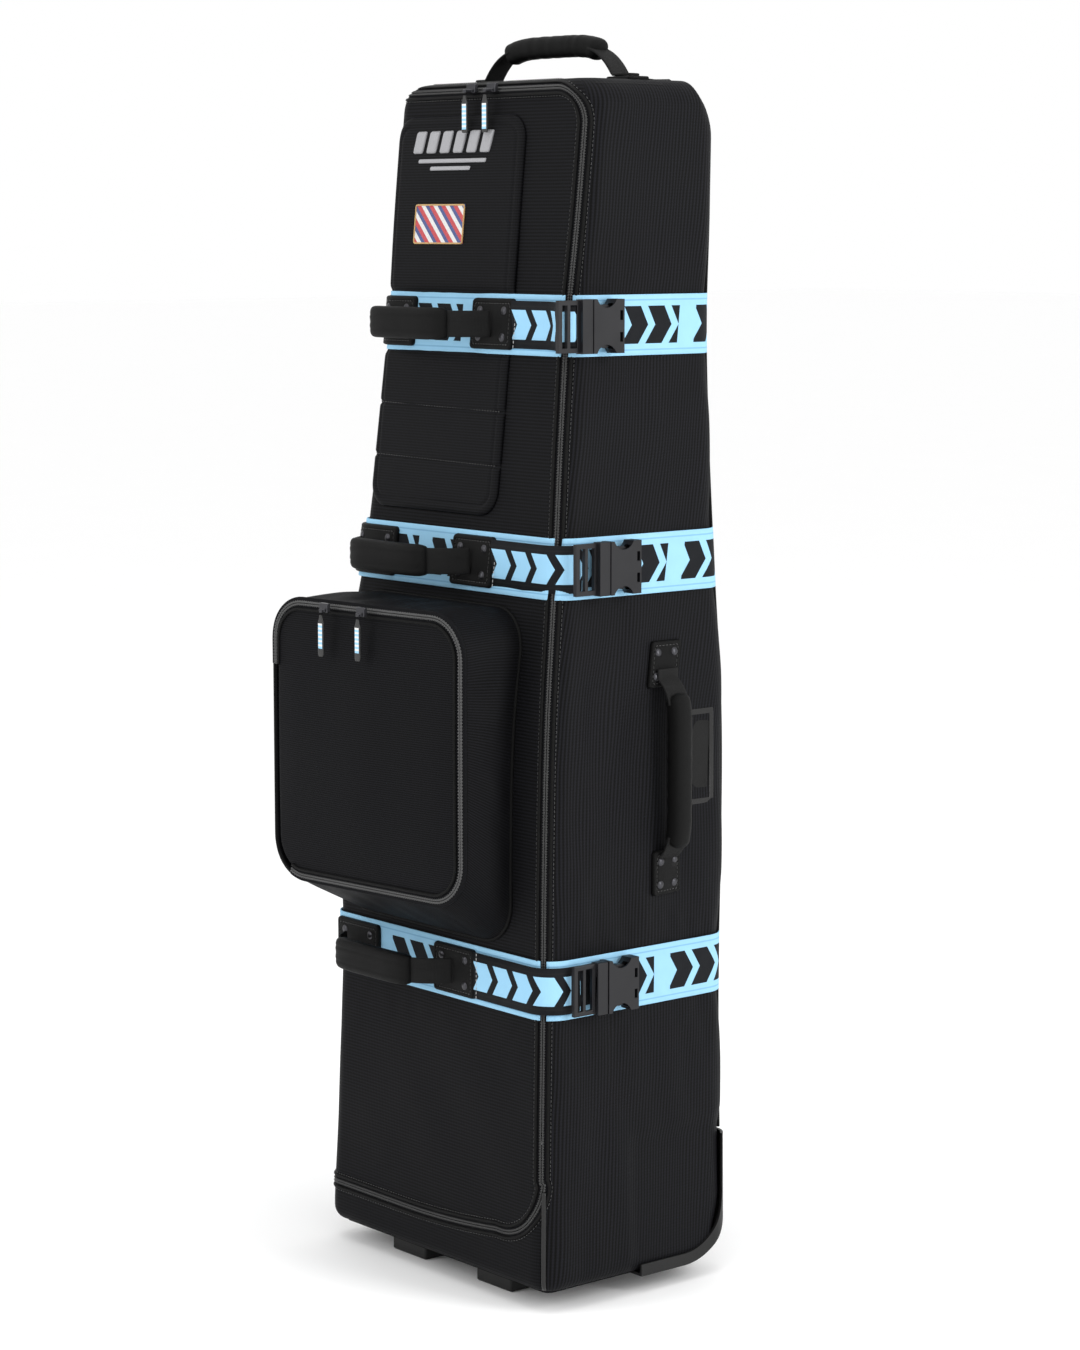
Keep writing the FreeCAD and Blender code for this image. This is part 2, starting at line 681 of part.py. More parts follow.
def plug(level):
    """The half on the tail strap: a shoulder, a ladder adjuster in front and a tongue behind."""
    name = level + "_plug"
    shoulder = block(name + "_shoulder", ("0", "buckle_thick - 1"), ("0", "shoulder"),
                     ("0 - buckle_width / 2", "buckle_width / 2"), local)
    frame = block(name + "_frame", ("0.5", "5.5"), ("0 - adjuster", "0"),
                  ("1 - buckle_width / 2", "buckle_width / 2 - 1"), local)
    holes = fuse(
        name + "_holes",
        block(name + "_near_slot", ("0 - buckle_thick", "buckle_thick"), ("0 - adjuster / 2 + 2", "0 - 3"),
              ("6 - buckle_width / 2", "buckle_width / 2 - 6"), local),
        block(name + "_far_slot", ("0 - buckle_thick", "buckle_thick"),
              ("5 - adjuster", "0 - adjuster / 2 - 2"),
              ("6 - buckle_width / 2", "buckle_width / 2 - 6"), local))
    tongue = block(name + "_tongue", ("prong_low", "prong_high"), ("shoulder", "prong_end"),
                   ("0 - tongue_half", "tongue_half"), local)
    return fuse(name, shoulder, cut(name + "_ladder", frame, holes), tongue)


def arm(level, side):
    """A springy prong beside the tongue, with a bulge that shows in the socket's waist."""
    name = "%s_arm_%s" % (level, "low" if side < 0 else "high")
    z = {1: ("arm_low", "arm_high"), -1: ("0 - arm_high", "0 - arm_low")}[side]
    shank = block(name + "_shank", ("prong_low", "prong_high"),
                  ("shoulder + arm_gap", "prong_end - 3"), z, local)
    bar = rod(name + "_bar", "x", "arm_bulge - arm_low + 3", "prong_high - prong_low",
              "prong_low", "waist_place", "%d * (arm_low - 3)" % side, local)
    zone = {1: ("arm_low", "arm_high + 20"), -1: ("0 - arm_high - 20", "0 - arm_low")}[side]
    zone_block = block(name + "_zone", ("0", "buckle_thick"), ("shoulder + 4", "prong_end"), zone, local)
    return fuse(name, shank, common(name + "_bulge", bar, zone_block))


for level, strap in STRAPS.items():
    seat = "max(%s; %s) + buckle_lift" % (
        form_at("half", "(%s - buckle_width / 2)" % strap),
        form_at("half", "(%s + buckle_width / 2)" % strap))
    start = "0 - %s_buckle" % level
    node(place(socket(level), seat, start, strap), level + "_buckle_socket")
    node(place(plug(level), seat, start, strap), level + "_buckle_plug")
    node(place(arm(level, -1), seat, start, strap), level + "_release_low")
    node(place(arm(level, 1), seat, start, strap), level + "_release_high")


# ---- handles ----
def grip_frame(name, grip, leg_place, reach, stub_to):
    """A grip on two legs, with a stub at each leg's foot that the handle turns on."""
    pieces = [grip]
    for side in (-1, 1):
        tag = "ab"[side > 0]
        pieces.append(rod("%s_leg_%s" % (name, tag), "z", "leg_radius", reach,
                          "%d * (%s)" % (side, leg_place), "0", "0", local))
        near = "(%s) - leg_radius / 2" % leg_place if side > 0 else "0 - (%s)" % stub_to
        pieces.append(rod("%s_stub_%s" % (name, tag), "x", "leg_radius",
                          "(%s) - (%s) + leg_radius / 2" % (stub_to, leg_place), near, "0", "0", local))
    return fuse(name, *pieces)


def round_grip(name, half, radius, reach):
    return rod(name, "x", radius, "2 * (%s)" % half, "0 - (%s)" % half, "0", reach, local)


def turned(thing, rotation, x, y, z):
    thing.Placement = FreeCAD.Placement(FreeCAD.Vector(), rotation)
    return place(thing, x, y, z)


# top handle: the grip runs along X above the top
top_grip = round_grip("top_grip", "top_handle_half", "top_grip_radius", "top_grip_reach")
top_handle = grip_frame("top_handle", top_grip, "top_handle_half - leg_radius", "top_grip_reach",
                        "anchor_near - 0.5")
node(turned(top_handle, FreeCAD.Rotation(), "0", "top_handle_y", "crown_level + hinge_lift + leg_radius / 2"),
     "top_handle_grip")
anchors = []
for side in (-1, 1):
    x = ("anchor_near", "anchor_far") if side > 0 else ("0 - anchor_far", "0 - anchor_near")
    anchors.append(block("anchor_%s" % "ab"[side > 0], x,
                         ("top_handle_y - anchor_width / 2", "top_handle_y + anchor_width / 2"),
                         ("crown_level", "crown_level + anchor_thick")))
node(group("anchors", *anchors), "top_handle_anchors")

# side handle: the grip stands upright off the right face
side_grip = round_grip("side_grip", "side_handle_half", "side_grip_radius", "side_grip_reach")
side_handle = grip_frame("side_handle", side_grip, "side_handle_half - leg_radius", "side_grip_reach",
                         "side_pad_near - 0.5")
SIDE_X = "%s + tail_in + hinge_lift - leg_radius / 2" % form_at("half", "side_handle_z - side_pad_far")
UP_THE_SIDE = FreeCAD.Rotation(FreeCAD.Vector(0, 1, 0), 90)
node(turned(side_handle, UP_THE_SIDE, SIDE_X, "side_handle_y", "side_handle_z"), "side_handle_grip")
side_pads = []
side_rivet_bars = []
for side in (-1, 1):
    low, high = ("side_pad_near", "side_pad_far") if side > 0 else ("0 - side_pad_far", "0 - side_pad_near")
    y = ("side_handle_y - side_pad_width / 2", "side_handle_y + side_pad_width / 2")
    z = ("side_handle_z + " + low, "side_handle_z + " + high)
    side_pads.append(block("side_pad_%s" % "ab"[side > 0], ("0", "beyond"), y, z))
    for row, height in enumerate(("%s + rivet_inset" % z[0], "%s - rivet_inset" % z[1])):
        for way in (-1, 1):
            name = "side_rivet_%s_%d_%s" % ("ab"[side > 0], row, "ab"[way > 0])
            across = "side_handle_y + %d * (side_pad_width / 2 - rivet_inset)" % way
            side_rivet_bars.append(rod(name, "x", "rivet_radius - 0.5", "beyond", "0", across, height))
node(common("side_pads", skin("side_pad_skin", None, "tail_in"), fuse("side_pad_blocks", *side_pads)),
     "side_handle_pads")
node(common("side_rivets", tail_skin, fuse("side_rivet_group", *side_rivet_bars)), "side_handle_rivets")

# wrap handles: flat padded grips that stand off the three front straps
for level, strap in STRAPS.items():
    name = level + "_wrap"
    sketch = rounded_rectangle(name + "_section", "0 - wrap_grip_thick / 2", "wrap_grip_thick / 2",
                               "0 - wrap_grip_wide / 2", "wrap_grip_wide / 2", "wrap_grip_round")
    sketch.Placement = FreeCAD.Placement(FreeCAD.Vector(), FreeCAD.Rotation(FreeCAD.Vector(0, 1, 0), 90))
    local(sketch, "0 - wrap_grip_half", "0", "wrap_grip_reach + wrap_grip_thick / 2 - leg_radius")
    grip = raise_sketch(name + "_bar", sketch, (1, 0, 0), "2 * wrap_grip_half")
    wrap = grip_frame(name, grip, "wrap_leg_half", "wrap_grip_reach",
                      "wrap_leg_half + stub_end")
    front = "0 - %s - pad_out - hinge_lift" % form_at("depth", "%s - pad_height / 2" % strap)
    node(turned(wrap, UPRIGHT, "wrap_handle_x", front, strap), level + "_wrap_grip")

# ---- name-tag holder on the right face ----
TAG_X = ("0", "beyond")
tag_block = block("tag_block", TAG_X, ("tag_front", "tag_rear"), ("tag_bottom", "tag_top"))
tag_hole = block("tag_hole", TAG_X, ("tag_front + tag_border", "tag_rear - tag_border"),
                 ("tag_bottom + tag_border", "tag_top - tag_border"))
tag_plate = common("tag_plate", skin("tag_skin", None, "strap_out"), tag_block)
node(cut("tag_frame", tag_plate, tag_hole), "tag_frame")
node(common("tag_pane", zip_skin, tag_hole), "tag_window")


# ---- wheels, axles, housings ----
def wheel(label, side):
    """A tyre on its hub with a bore for the axle; the rim's two edges are rounded."""
    body = doc.addObject("PartDesign::Body", label + "_body")
    plane = [f for f in body.Origin.OriginFeatures if f.Role == "YZ_Plane"][0]
    sketch = body.newObject("Sketcher::SketchObject", label + "_disc")
    sketch.AttachmentSupport = [(plane, "")]
    sketch.MapMode = "FlatFace"
    middle, up = FreeCAD.Vector(0, 0, 0), FreeCAD.Vector(0, 0, 1)
    for index, text in enumerate(("wheel_radius", "axle_radius + axle_clear")):
        sketch.addGeometry(Part.Circle(middle, up, 30.0 - 20 * index), False)
        sketch.addConstraint(Sketcher.Constraint("Coincident", index, 3, -1, 1))
        ring = sketch.addConstraint(Sketcher.Constraint("Radius", index, 30.0 - 20 * index))
        sketch.setExpression("Constraints[%d]" % ring, bound(text))
    pad = body.newObject("PartDesign::Pad", label + "_pad")
    pad.Profile = sketch
    pad.SideType = "Symmetric"
    size(pad, Length="wheel_width")
    doc.recompute()
    rim = body.newObject("PartDesign::Fillet", label + "_rim")
    edges = [i for i, e in enumerate(pad.Shape.Edges, start=1)
             if e.Curve.TypeId == "Part::GeomCircle" and e.Curve.Radius > 20]
    rim.Base = (pad, ["Edge%d" % i for i in edges])
    size(rim, Radius="wheel_round")
    body.Tip = rim
    node(place(body, "%d * wheel_x" % side, "wheel_y", "wheel_radius"), label)


axles = []
for label, side in (("right", 1), ("left", -1)):
    wheel("%s_wheel" % label, side)
    reach = "wheel_width / 2 + wheel_side_clear + housing_wall"
    axles.append(rod(label + "_axle", "x", "axle_radius", "2 * (%s)" % reach,
                     "%d * wheel_x - (%s)" % (side, reach), "wheel_y", "wheel_radius"))
    box = block(label + "_housing_box",
                ("%d * wheel_x - (%s)" % (side, reach), "%d * wheel_x + (%s)" % (side, reach)),
                ("wheel_y - wheel_radius - wheel_rim_clear - housing_wall", "0"),
                ("foot_level", "2 * wheel_radius + wheel_rim_clear + housing_wall"))
    open_box = cut(label + "_housing_open", common(label + "_housing_fit", box, inner_round), wells)
    node(cut(label + "_housing", open_box, axles[-1]), label + "_wheel_housing")
node(group("axle_group", *axles), "wheel_axles")

# ---- kick plate round the lower rear corner, and the front feet ----
kick_form = case_form("kick_form", "kick_thick", "foot_level - kick_thick")
kick_block = cut("kick_shell", rounded_form("kick_round", kick_form, "kick_thick"), outer_round)
kick_zone = block("kick_zone", ALL_X, ("0 - kick_reach", "beyond / 2"), ("0", "kick_height"))
lip_block = block("lip_block", ALL_X, ("0 - beyond", "0 - kick_lip"), ("foot_level + kick_lip", "beyond"))
lip_round = corner_cutter("lip_round", "0 - heel_round", "foot_level + heel_round",
                          "heel_round - kick_lip", 1, -1)
kick_part = common("kick_part", kick_block, kick_zone)
kick_open = cut("kick_open", kick_part, cut("lip_window", lip_block, lip_round))
node(cut("kick", kick_open, wells), "kick_plate")

feet = []
for label, x in (("right", ("feet_inner", "feet_outer")), ("left", ("0 - feet_outer", "0 - feet_inner"))):
    feet.append(block(label + "_foot", x, ("feet_front", "feet_rear"), ("0", "foot_level")))
node(group("feet_group", *feet), "front_feet")

# ---- stiffeners inside ----
BOARD_REAR = "wheel_y - wheel_radius - wheel_rim_clear - housing_wall - board_gap"
board = block("board_block", ALL_X, ("0 - beyond", BOARD_REAR),
              ("foot_level + wall", "foot_level + wall + board_thick"))
board_form = case_form("board_form", "0 - wall - board_margin", "foot_level")
node(common("board", board, board_form), "base_board")
lining = block("lining_block", ALL_X, ("0 - beyond", "0 - nape_round"),
               ("crown_level - wall - lining_thick", "crown_level - wall"))
node(common("lining", lining, board_form), "top_lining")

# ---- recompute, check and write ----
doc.recompute()
for thing in doc.Objects:
    if "Invalid" in thing.State or "Error" in thing.State:
        raise RuntimeError("%s did not compute: %s" % (thing.Label, thing.State))
labels = [thing.Label for thing in nodes]
if len(set(labels)) != len(labels):
    raise RuntimeError("two sub-parts share a name")
for thing in nodes:
    if thing.Shape.isNull() or not thing.Shape.isValid() or not thing.Shape.Solids:
        raise RuntimeError("%s has no valid solid" % thing.Label)
os.makedirs("parts", exist_ok=True)
for thing in nodes:
    thing.Shape.exportStep(os.path.join("parts", thing.Label + ".step"))
print("%d sub-parts written" % len(nodes))
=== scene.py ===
"""A golf travel case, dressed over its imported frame: cloth panels, webbing, zips, buckles and handles."""
import math

import bmesh
import bpy
import numpy as np
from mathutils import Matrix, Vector


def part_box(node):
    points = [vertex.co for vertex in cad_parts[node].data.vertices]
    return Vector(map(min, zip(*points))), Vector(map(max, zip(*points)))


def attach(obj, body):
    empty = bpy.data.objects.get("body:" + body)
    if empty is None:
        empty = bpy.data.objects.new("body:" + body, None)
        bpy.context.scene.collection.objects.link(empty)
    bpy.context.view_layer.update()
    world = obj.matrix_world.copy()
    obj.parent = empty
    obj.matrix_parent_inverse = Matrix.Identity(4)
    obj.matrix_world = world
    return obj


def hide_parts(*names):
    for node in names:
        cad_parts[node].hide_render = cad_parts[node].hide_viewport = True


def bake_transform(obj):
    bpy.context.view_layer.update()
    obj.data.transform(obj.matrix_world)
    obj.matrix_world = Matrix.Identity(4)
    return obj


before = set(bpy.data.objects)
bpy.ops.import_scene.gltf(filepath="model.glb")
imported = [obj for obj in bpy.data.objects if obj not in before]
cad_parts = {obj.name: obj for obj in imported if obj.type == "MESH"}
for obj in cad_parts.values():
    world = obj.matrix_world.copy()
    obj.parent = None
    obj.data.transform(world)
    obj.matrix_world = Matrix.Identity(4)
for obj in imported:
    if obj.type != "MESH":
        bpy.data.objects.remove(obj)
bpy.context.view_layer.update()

# ---- sizes of the case, in metres; heights are above the floor, depths are measured from the rear face ----
MM = 0.001
LEVELS = np.array([22, 150, 347, 480, 622, 787, 930, 1037, 1150, 1292]) * MM
HALF = np.array([195, 191, 187.5, 190, 189, 175.5, 165.5, 161.5, 165, 165.5]) * MM
DEPTH = np.array([265, 261, 255.5, 256, 251.5, 229.5, 213, 201.5, 190.5, 176.5]) * MM
MIDDLE = (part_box("left_side_panel")[0].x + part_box("right_side_panel")[1].x) / 2
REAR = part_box("back_panel")[1].y
FLOOR_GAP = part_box("base_panel")[0].z
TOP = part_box("top_panel")[1].z
FRONT_ROUND = 25 * MM
REAR_ROUND = 30 * MM
RIM_ROUND = 16 * MM
SHOULDER_ROUND = 30 * MM
HEEL_ROUND = 70 * MM
NAPE_ROUND = 60 * MM
STRAPS = {
    "upper": 1037 * MM,
    "middle": 787 * MM,
    "lower": 347 * MM,
}
STRAP_WIDTH = 63.5 * MM
TAIL_WIDTH = 50 * MM
HINGE_DEPTH = 190 * MM
SEAM = 11.3 * MM
DOOR_BOTTOM = 68 * MM
DOOR_TOP = 1283 * MM
DOOR_CORNER_LOW = 62 * MM
DOOR_CORNER_HIGH = 40 * MM


# ---- the case's surface ----
def smooth_levels(values):
    """A cubic through the levels: each piece between two levels is a Hermite curve with central slopes."""
    slopes = np.gradient(values, LEVELS)

    def at(z):
        z = np.clip(z, LEVELS[0], LEVELS[-1])
        i = np.clip(np.searchsorted(LEVELS, z) - 1, 0, len(LEVELS) - 2)
        gap = LEVELS[i + 1] - LEVELS[i]
        t = (z - LEVELS[i]) / gap
        h0, h1 = 2 * t**3 - 3 * t**2 + 1, -2 * t**3 + 3 * t**2
        g0, g1 = t**3 - 2 * t**2 + t, t**3 - t**2
        return h0 * values[i] + h1 * values[i + 1] + gap * (g0 * slopes[i] + g1 * slopes[i + 1])

    return at


half_at = smooth_levels(HALF)
depth_at = smooth_levels(DEPTH)


def rim_inset(z, low, high):
    """How far the wall has curled in at a height: quarter circles of radius low and high at its two rims."""
    up = np.clip(z - (TOP - high), 0, high)
    down = np.clip((FLOOR_GAP + low) - z, 0, low)
    return high - np.sqrt(high**2 - up**2) + low - np.sqrt(low**2 - down**2)


def half_ring(z):
    """Half the length of the section's outline at a height."""
    w, d = half_at(z), depth_at(z)
    return 2 * w + d + (math.pi / 2 - 2) * (FRONT_ROUND + REAR_ROUND)


def wall(p, z, off=0.0):
    """A point on the case: p is the distance round the section from the middle of the front, positive to the
    right; z is the height; off is the height above the cloth. The section is a round-cornered rectangle."""
    p, z, off = np.broadcast_arrays(np.asarray(p, float), np.asarray(z, float), np.asarray(off, float))
    w, d, ring = half_at(z), depth_at(z), half_ring(z)
    p = (p + ring) % (2 * ring) - ring
    side, q = np.where(p < 0, -1.0, 1.0), np.abs(p)
    ends = np.cumsum([w - FRONT_ROUND, 0 * w + math.pi / 2 * FRONT_ROUND, d - FRONT_ROUND - REAR_ROUND,
                      0 * w + math.pi / 2 * REAR_ROUND], axis=0)
    turn_front = np.clip((q - ends[0]) / FRONT_ROUND, 0, math.pi / 2)
    turn_rear = np.clip((q - ends[2]) / REAR_ROUND, 0, math.pi / 2)
    angle = turn_front + turn_rear
    nx, ny = np.sin(angle), -np.cos(angle)
    x = np.minimum(q, ends[0]) + FRONT_ROUND * np.sin(turn_front)
    y = -d + FRONT_ROUND * (1 - np.cos(turn_front)) + np.clip(q - ends[1], 0, ends[2] - ends[1])
    x = x - REAR_ROUND * (1 - np.cos(turn_rear)) - np.clip(q - ends[3], 0, None)
    y = y + REAR_ROUND * np.sin(turn_rear)
    rear_share = np.clip(ny, 0, 1)
    front_share = np.clip(-ny, 0, 1)
    inset = (front_share * rim_inset(z, RIM_ROUND, RIM_ROUND) + rear_share
             * rim_inset(z, HEEL_ROUND, NAPE_ROUND)
             + np.clip(1 - front_share - rear_share, 0, 1) * rim_inset(z, RIM_ROUND, 0.0))
    x = x * (1 - rim_inset(z, 0.0, SHOULDER_ROUND) / w)
    x, y = x + nx * (off - inset), y + ny * (off - inset)
    return np.stack([MIDDLE + side * x, REAR + y, z], axis=-1)


def seam_right(z):
    """Where the door's zip runs up the front right corner."""
    return half_at(z) - SEAM


def fold_left(z):
    """Where the door's fold ends on the left: at the hinge's depth, or beside the front corner."""
    w, d = half_at(z), depth_at(z)
    past = d - HINGE_DEPTH
    turn = np.arccos(np.clip(1 - past / FRONT_ROUND, 0, 1))
    reach = w - FRONT_ROUND + FRONT_ROUND * np.where(past > 0, turn, 0) + np.clip(past - FRONT_ROUND, 0, None)
    return -np.maximum(reach, w - SEAM)


def side_at(z, from_rear):
    """How far round the section a place on the right side lies, at a distance from the rear face."""
    return half_at(z) + (math.pi / 2 - 2) * FRONT_ROUND + depth_at(z) - from_rear


def door_low(p):
    """The door's lower edge, which rises gently and turns up in a quarter circle at its right end."""
    start = seam_right(DOOR_BOTTOM) - DOOR_CORNER_LOW
    t = np.clip(p - start, 0, DOOR_CORNER_LOW - 0.02 * MM)
    lift = DOOR_CORNER_LOW - np.sqrt(DOOR_CORNER_LOW**2 - t**2)
    return DOOR_BOTTOM + lift + 10 * MM * np.clip((p + 0.05) / 0.16, 0, 1)**2


def door_high(p):
    """The door's upper edge, which turns down in a quarter circle at its right end."""
    t = np.clip(p - (seam_right(DOOR_TOP) - DOOR_CORNER_HIGH), 0, DOOR_CORNER_HIGH - 0.02 * MM)
    return DOOR_TOP - DOOR_CORNER_HIGH + np.sqrt(DOOR_CORNER_HIGH**2 - t**2)


# ---- relief: sums of sine waves with fixed random directions stand for creases in the cloth ----
def creases(u, v, stretch, size, count=9, seed=1):
    """A sum of sine waves about size long whose crests run along v, stretched by stretch, from -1 to 1."""
    draw = np.random.default_rng(seed)
    total = np.zeros(np.broadcast(u, v).shape)
    for _ in range(count):
        k = 2 * math.pi / (size * draw.uniform(0.6, 1.7))
        lean = draw.normal(0, 0.35)
        total = total + np.sin(k * (u + lean * v / stretch) + k * 0.5 * v / stretch * draw.normal(0, 1)
                               + draw.uniform(0, 6.28)) * draw.uniform(0.5, 1)
    return total / count * 1.6


def near(z, centre, reach):
    """One at a height, falling to nothing at a distance from it, as a bell."""
    return np.exp(-((z - centre) / reach)**2)


def cloth_relief(p, z):
    """The soft shape of the cloth: full between the straps, pinched under them, creased on the sides."""
    pinch = sum(near(z, s, 30 * MM) for s in STRAPS.values())
    side = np.clip((np.abs(p) - half_at(z) + 10 * MM) / (40 * MM), 0, 1)
    folds = creases(p, z, 3.5, 75 * MM, seed=3) * side * 2.4
    gather = sum(near(z, s + side_sign * 55 * MM, 45 * MM)
                 * creases(p, z, 2.0, 34 * MM, seed=int(s * 1000) + side_sign)
                 for s in STRAPS.values() for side_sign in (-1, 1)) * (0.35 + 0.9 * side)
    soft = creases(p, z, 1.0, 190 * MM, seed=11) * 1.6
    pinch = np.clip(pinch, 0, 1)
    full = (1 - np.clip(sum(near(z, s, 75 * MM) for s in STRAPS.values()), 0, 1)) * side * 4.5
    relief = (folds * 1.4 + gather + soft + full) * (1 - pinch) * 0.8 - 1.0 * pinch
    tag = near(z, 576 * MM, 70 * MM) * near(np.abs(p), side_at(z, 31 * MM), 36 * MM) * (p > 0)
    plated = np.clip((185 * MM - z) / (22 * MM), 0, 1) * np.clip(
        (np.abs(p) - side_at(z, 150 * MM)) / (15 * MM), 0, 1)
    return (relief * (1 - tag) * (1 - plated) - 0.6 * plated) * MM


# ---- meshes ----
def new_object(name, verts, faces, uv=None, smooth=True):
    """A mesh object from vertices and faces; uv holds one pair per vertex."""
    mesh = bpy.data.meshes.new(name)
    mesh.from_pydata(verts.reshape(-1, 3), [], faces if isinstance(faces, list) else faces.tolist())
    if uv is not None:
        layer = mesh.uv_layers.new(name="UVMap")
        loops = np.empty(len(mesh.loops), dtype=np.int32)
        mesh.loops.foreach_get("vertex_index", loops)
        layer.data.foreach_set("uv", uv.reshape(-1, 2)[loops].astype(np.float32).ravel())
    mesh.polygons.foreach_set("use_smooth", np.full(len(mesh.polygons), smooth))
    mesh.update()
    thing = bpy.data.objects.new(name, mesh)
    bpy.context.scene.collection.objects.link(thing)
    return thing


def grid_faces(rows, cols, wrap_rows=False, wrap_cols=False, start=0):
    """Quads of a grid, whose columns or rows may close on themselves."""
    index = start + np.arange(rows * cols).reshape(rows, cols)
    if wrap_cols:
        index = np.concatenate([index, index[:, :1]], axis=1)
    if wrap_rows:
        index = np.concatenate([index, index[:1]], axis=0)
    return np.stack([index[:-1, :-1], index[:-1, 1:], index[1:, 1:], index[1:, :-1]], axis=-1).reshape(-1, 4)


def grid(name, points, uv=None, **wrap):
    """A grid of points as a smooth mesh."""
    rows, cols = points.shape[:2]
    return new_object(name, points, grid_faces(rows, cols, **wrap), uv)


def thicken(thing, thickness):
    """Gives a sheet its thickness inwards, away from the side that faces out."""
    solid = thing.modifiers.new("thickness", "SOLIDIFY")
    solid.thickness = thickness
    solid.offset = -1
    solid.use_even_offset = False
    return thing


def spread(count, crowd=0.0):
    """Numbers from 0 to 1 that crowd towards both ends: a blend of even steps and a cosine."""
    t = np.linspace(0, 1, count)
    return (1 - crowd) * t + crowd * (1 - np.cos(math.pi * t)) / 2


def frames(points, ups, closed=False):
    """Unit tangents, sideways and upward directions along a path."""
    if closed:
        tangent = np.roll(points, -1, 0) - np.roll(points, 1, 0)
    else:
        tangent = np.gradient(points, axis=0)
    tangent = tangent / np.linalg.norm(tangent, axis=1, keepdims=True)
    side = np.cross(tangent, ups)
    side = side / np.linalg.norm(side, axis=1, keepdims=True)
    return tangent, side, np.cross(side, tangent)


def sweep(name, points, ups, section, closed=False, cap=True):
    """A closed section of (side, up) offsets carried along a path; section may change along it."""
    points, ups = np.asarray(points, float), np.broadcast_to(np.asarray(ups, float), (len(points), 3))
    _, side, up = frames(points, ups, closed)
    section = np.broadcast_to(section, (len(points),) + section.shape[-2:])
    ring = points[:, None] + side[:, None] * section[..., :1] + up[:, None] * section[..., 1:]
    rows, cols = ring.shape[:2]
    faces = grid_faces(rows, cols, wrap_rows=closed, wrap_cols=True).tolist()
    verts = ring.reshape(-1, 3)
    if cap and not closed:
        faces.append(list(range(cols))[::-1])
        faces.append(list(range((rows - 1) * cols, rows * cols)))
    run = np.concatenate([[0], np.cumsum(np.linalg.norm(np.diff(points, axis=0), axis=1))])
    uv = np.stack(np.broadcast_arrays(run[:, None], np.linspace(0, 1, cols)[None]), axis=-1)
    thing = new_object(name, verts, faces, uv)
    fix_outward(thing)
    return thing


def fix_outward(thing):
    """Turns every face outwards."""
    b = bmesh.new()
    b.from_mesh(thing.data)
    bmesh.ops.recalc_face_normals(b, faces=b.faces)
    b.to_mesh(thing.data)
    b.free()
    return thing


def oval(across, tall, count=20, power=2.0):
    """A superellipse as (side, up) offsets: |x/a|^n + |y/b|^n = 1."""
    t = np.arange(count) / count * 2 * math.pi
    c, s = np.cos(t), np.sin(t)
    return np.stack([across * np.sign(c) * np.abs(c)**(2 / power), tall * np.sign(s)
                     * np.abs(s)**(2 / power)], -1)


def rounded_grid(rows, cols, half_u, half_v, corner, crowd=0.6):
    """A grid over a rounded rectangle: each square corner is drawn in to a quarter circle. Also gives each
    point's distance from the edge."""
    u, v = np.meshgrid(spread(cols, crowd) * 2 - 1, spread(rows, crowd) * 2 - 1)
    x, y = u * half_u, v * half_v
    dx, dy = np.abs(x) - (half_u - corner), np.abs(y) - (half_v - corner)
    in_corner = (dx > 0) & (dy > 0)
    square, round_ = np.maximum(dx, dy), np.hypot(dx, dy)
    scale = np.where(in_corner, square / np.where(in_corner, round_, 1), 1)
    x = np.where(in_corner, np.sign(x) * (half_u - corner + dx * scale), x)
    y = np.where(in_corner, np.sign(y) * (half_v - corner + dy * scale), y)
    edge = np.where(in_corner, corner - square, np.minimum(half_u - np.abs(x), half_v - np.abs(y)))
    return x, y, edge


def rolled(edge, roll):
    """Height from 0 at the edge to 1 at a distance of roll inside it, as a quarter circle."""
    t = np.clip(edge / roll, 0, 1)
    return np.sqrt(1 - (1 - t)**2)


def slab(name, p, z, corner, low, thick, roll, put=wall, rows=40, cols=40, relief=None):
    """A padded plate on a surface: a rounded rectangle over p[0]..p[1] and z[0]..z[1], edges rolled."""
    half_u, half_v = (p[1] - p[0]) / 2, (z[1] - z[0]) / 2
    x, y, edge = rounded_grid(rows, cols, half_u, half_v, corner)
    height = thick * rolled(edge, roll)
    if relief is not None:
        height = height + relief(x, y, edge)
    px, pz = x + (p[0] + p[1]) / 2, y + (z[0] + z[1]) / 2
    uv = np.stack([x, y], -1)
    return thicken(grid(name, put(px, pz, low + height), uv), 0.8 * MM)


def domes(name, centres, normals, radius, height, rings=5, spokes=14):
    """Round-headed rivets: a flat collar and a dome, the same profile turned about each normal."""
    t = np.linspace(0, 1, rings)
    profile = [(1.0, -0.15), (1.0, 0.35)] + [(math.cos(a) * 0.8, 0.45 + 0.55 * math.sin(a)) for a in t
                                             * math.pi / 2]
    profile = np.array(profile[:-1])
    turn = np.arange(spokes) / spokes * 2 * math.pi
    centres, normals = np.asarray(centres), np.asarray(normals)
    helper = np.where(np.abs(normals[:, 2:3]) < 0.9, [[0, 0, 1.0]], [[1.0, 0, 0]])
    a = np.cross(normals, helper)
    a = a / np.linalg.norm(a, axis=1, keepdims=True)
    b = np.cross(normals, a)
    around = a[:, None] * np.cos(turn)[None, :, None] + b[:, None] * np.sin(turn)[None, :, None]
    verts, faces = [], []
    count = len(profile) * spokes + 1
    for i in range(len(centres)):
        rings_ = (centres[i] + radius * profile[:, 0, None, None] * around[i][None]
                  + height * profile[:, 1, None, None] * normals[i])
        verts.append(rings_.reshape(-1, 3))
        verts.append((centres[i] + height * normals[i])[None])
        start = i * count
        faces += grid_faces(len(profile), spokes, wrap_cols=True, start=start).tolist()
        last = start + (len(profile) - 1) * spokes
        faces += [[last + k, last + (k + 1) % spokes, start + count - 1] for k in range(spokes)]
        faces.append([start + k for k in range(spokes)][::-1])
    return fix_outward(new_object(name, np.concatenate(verts), faces))


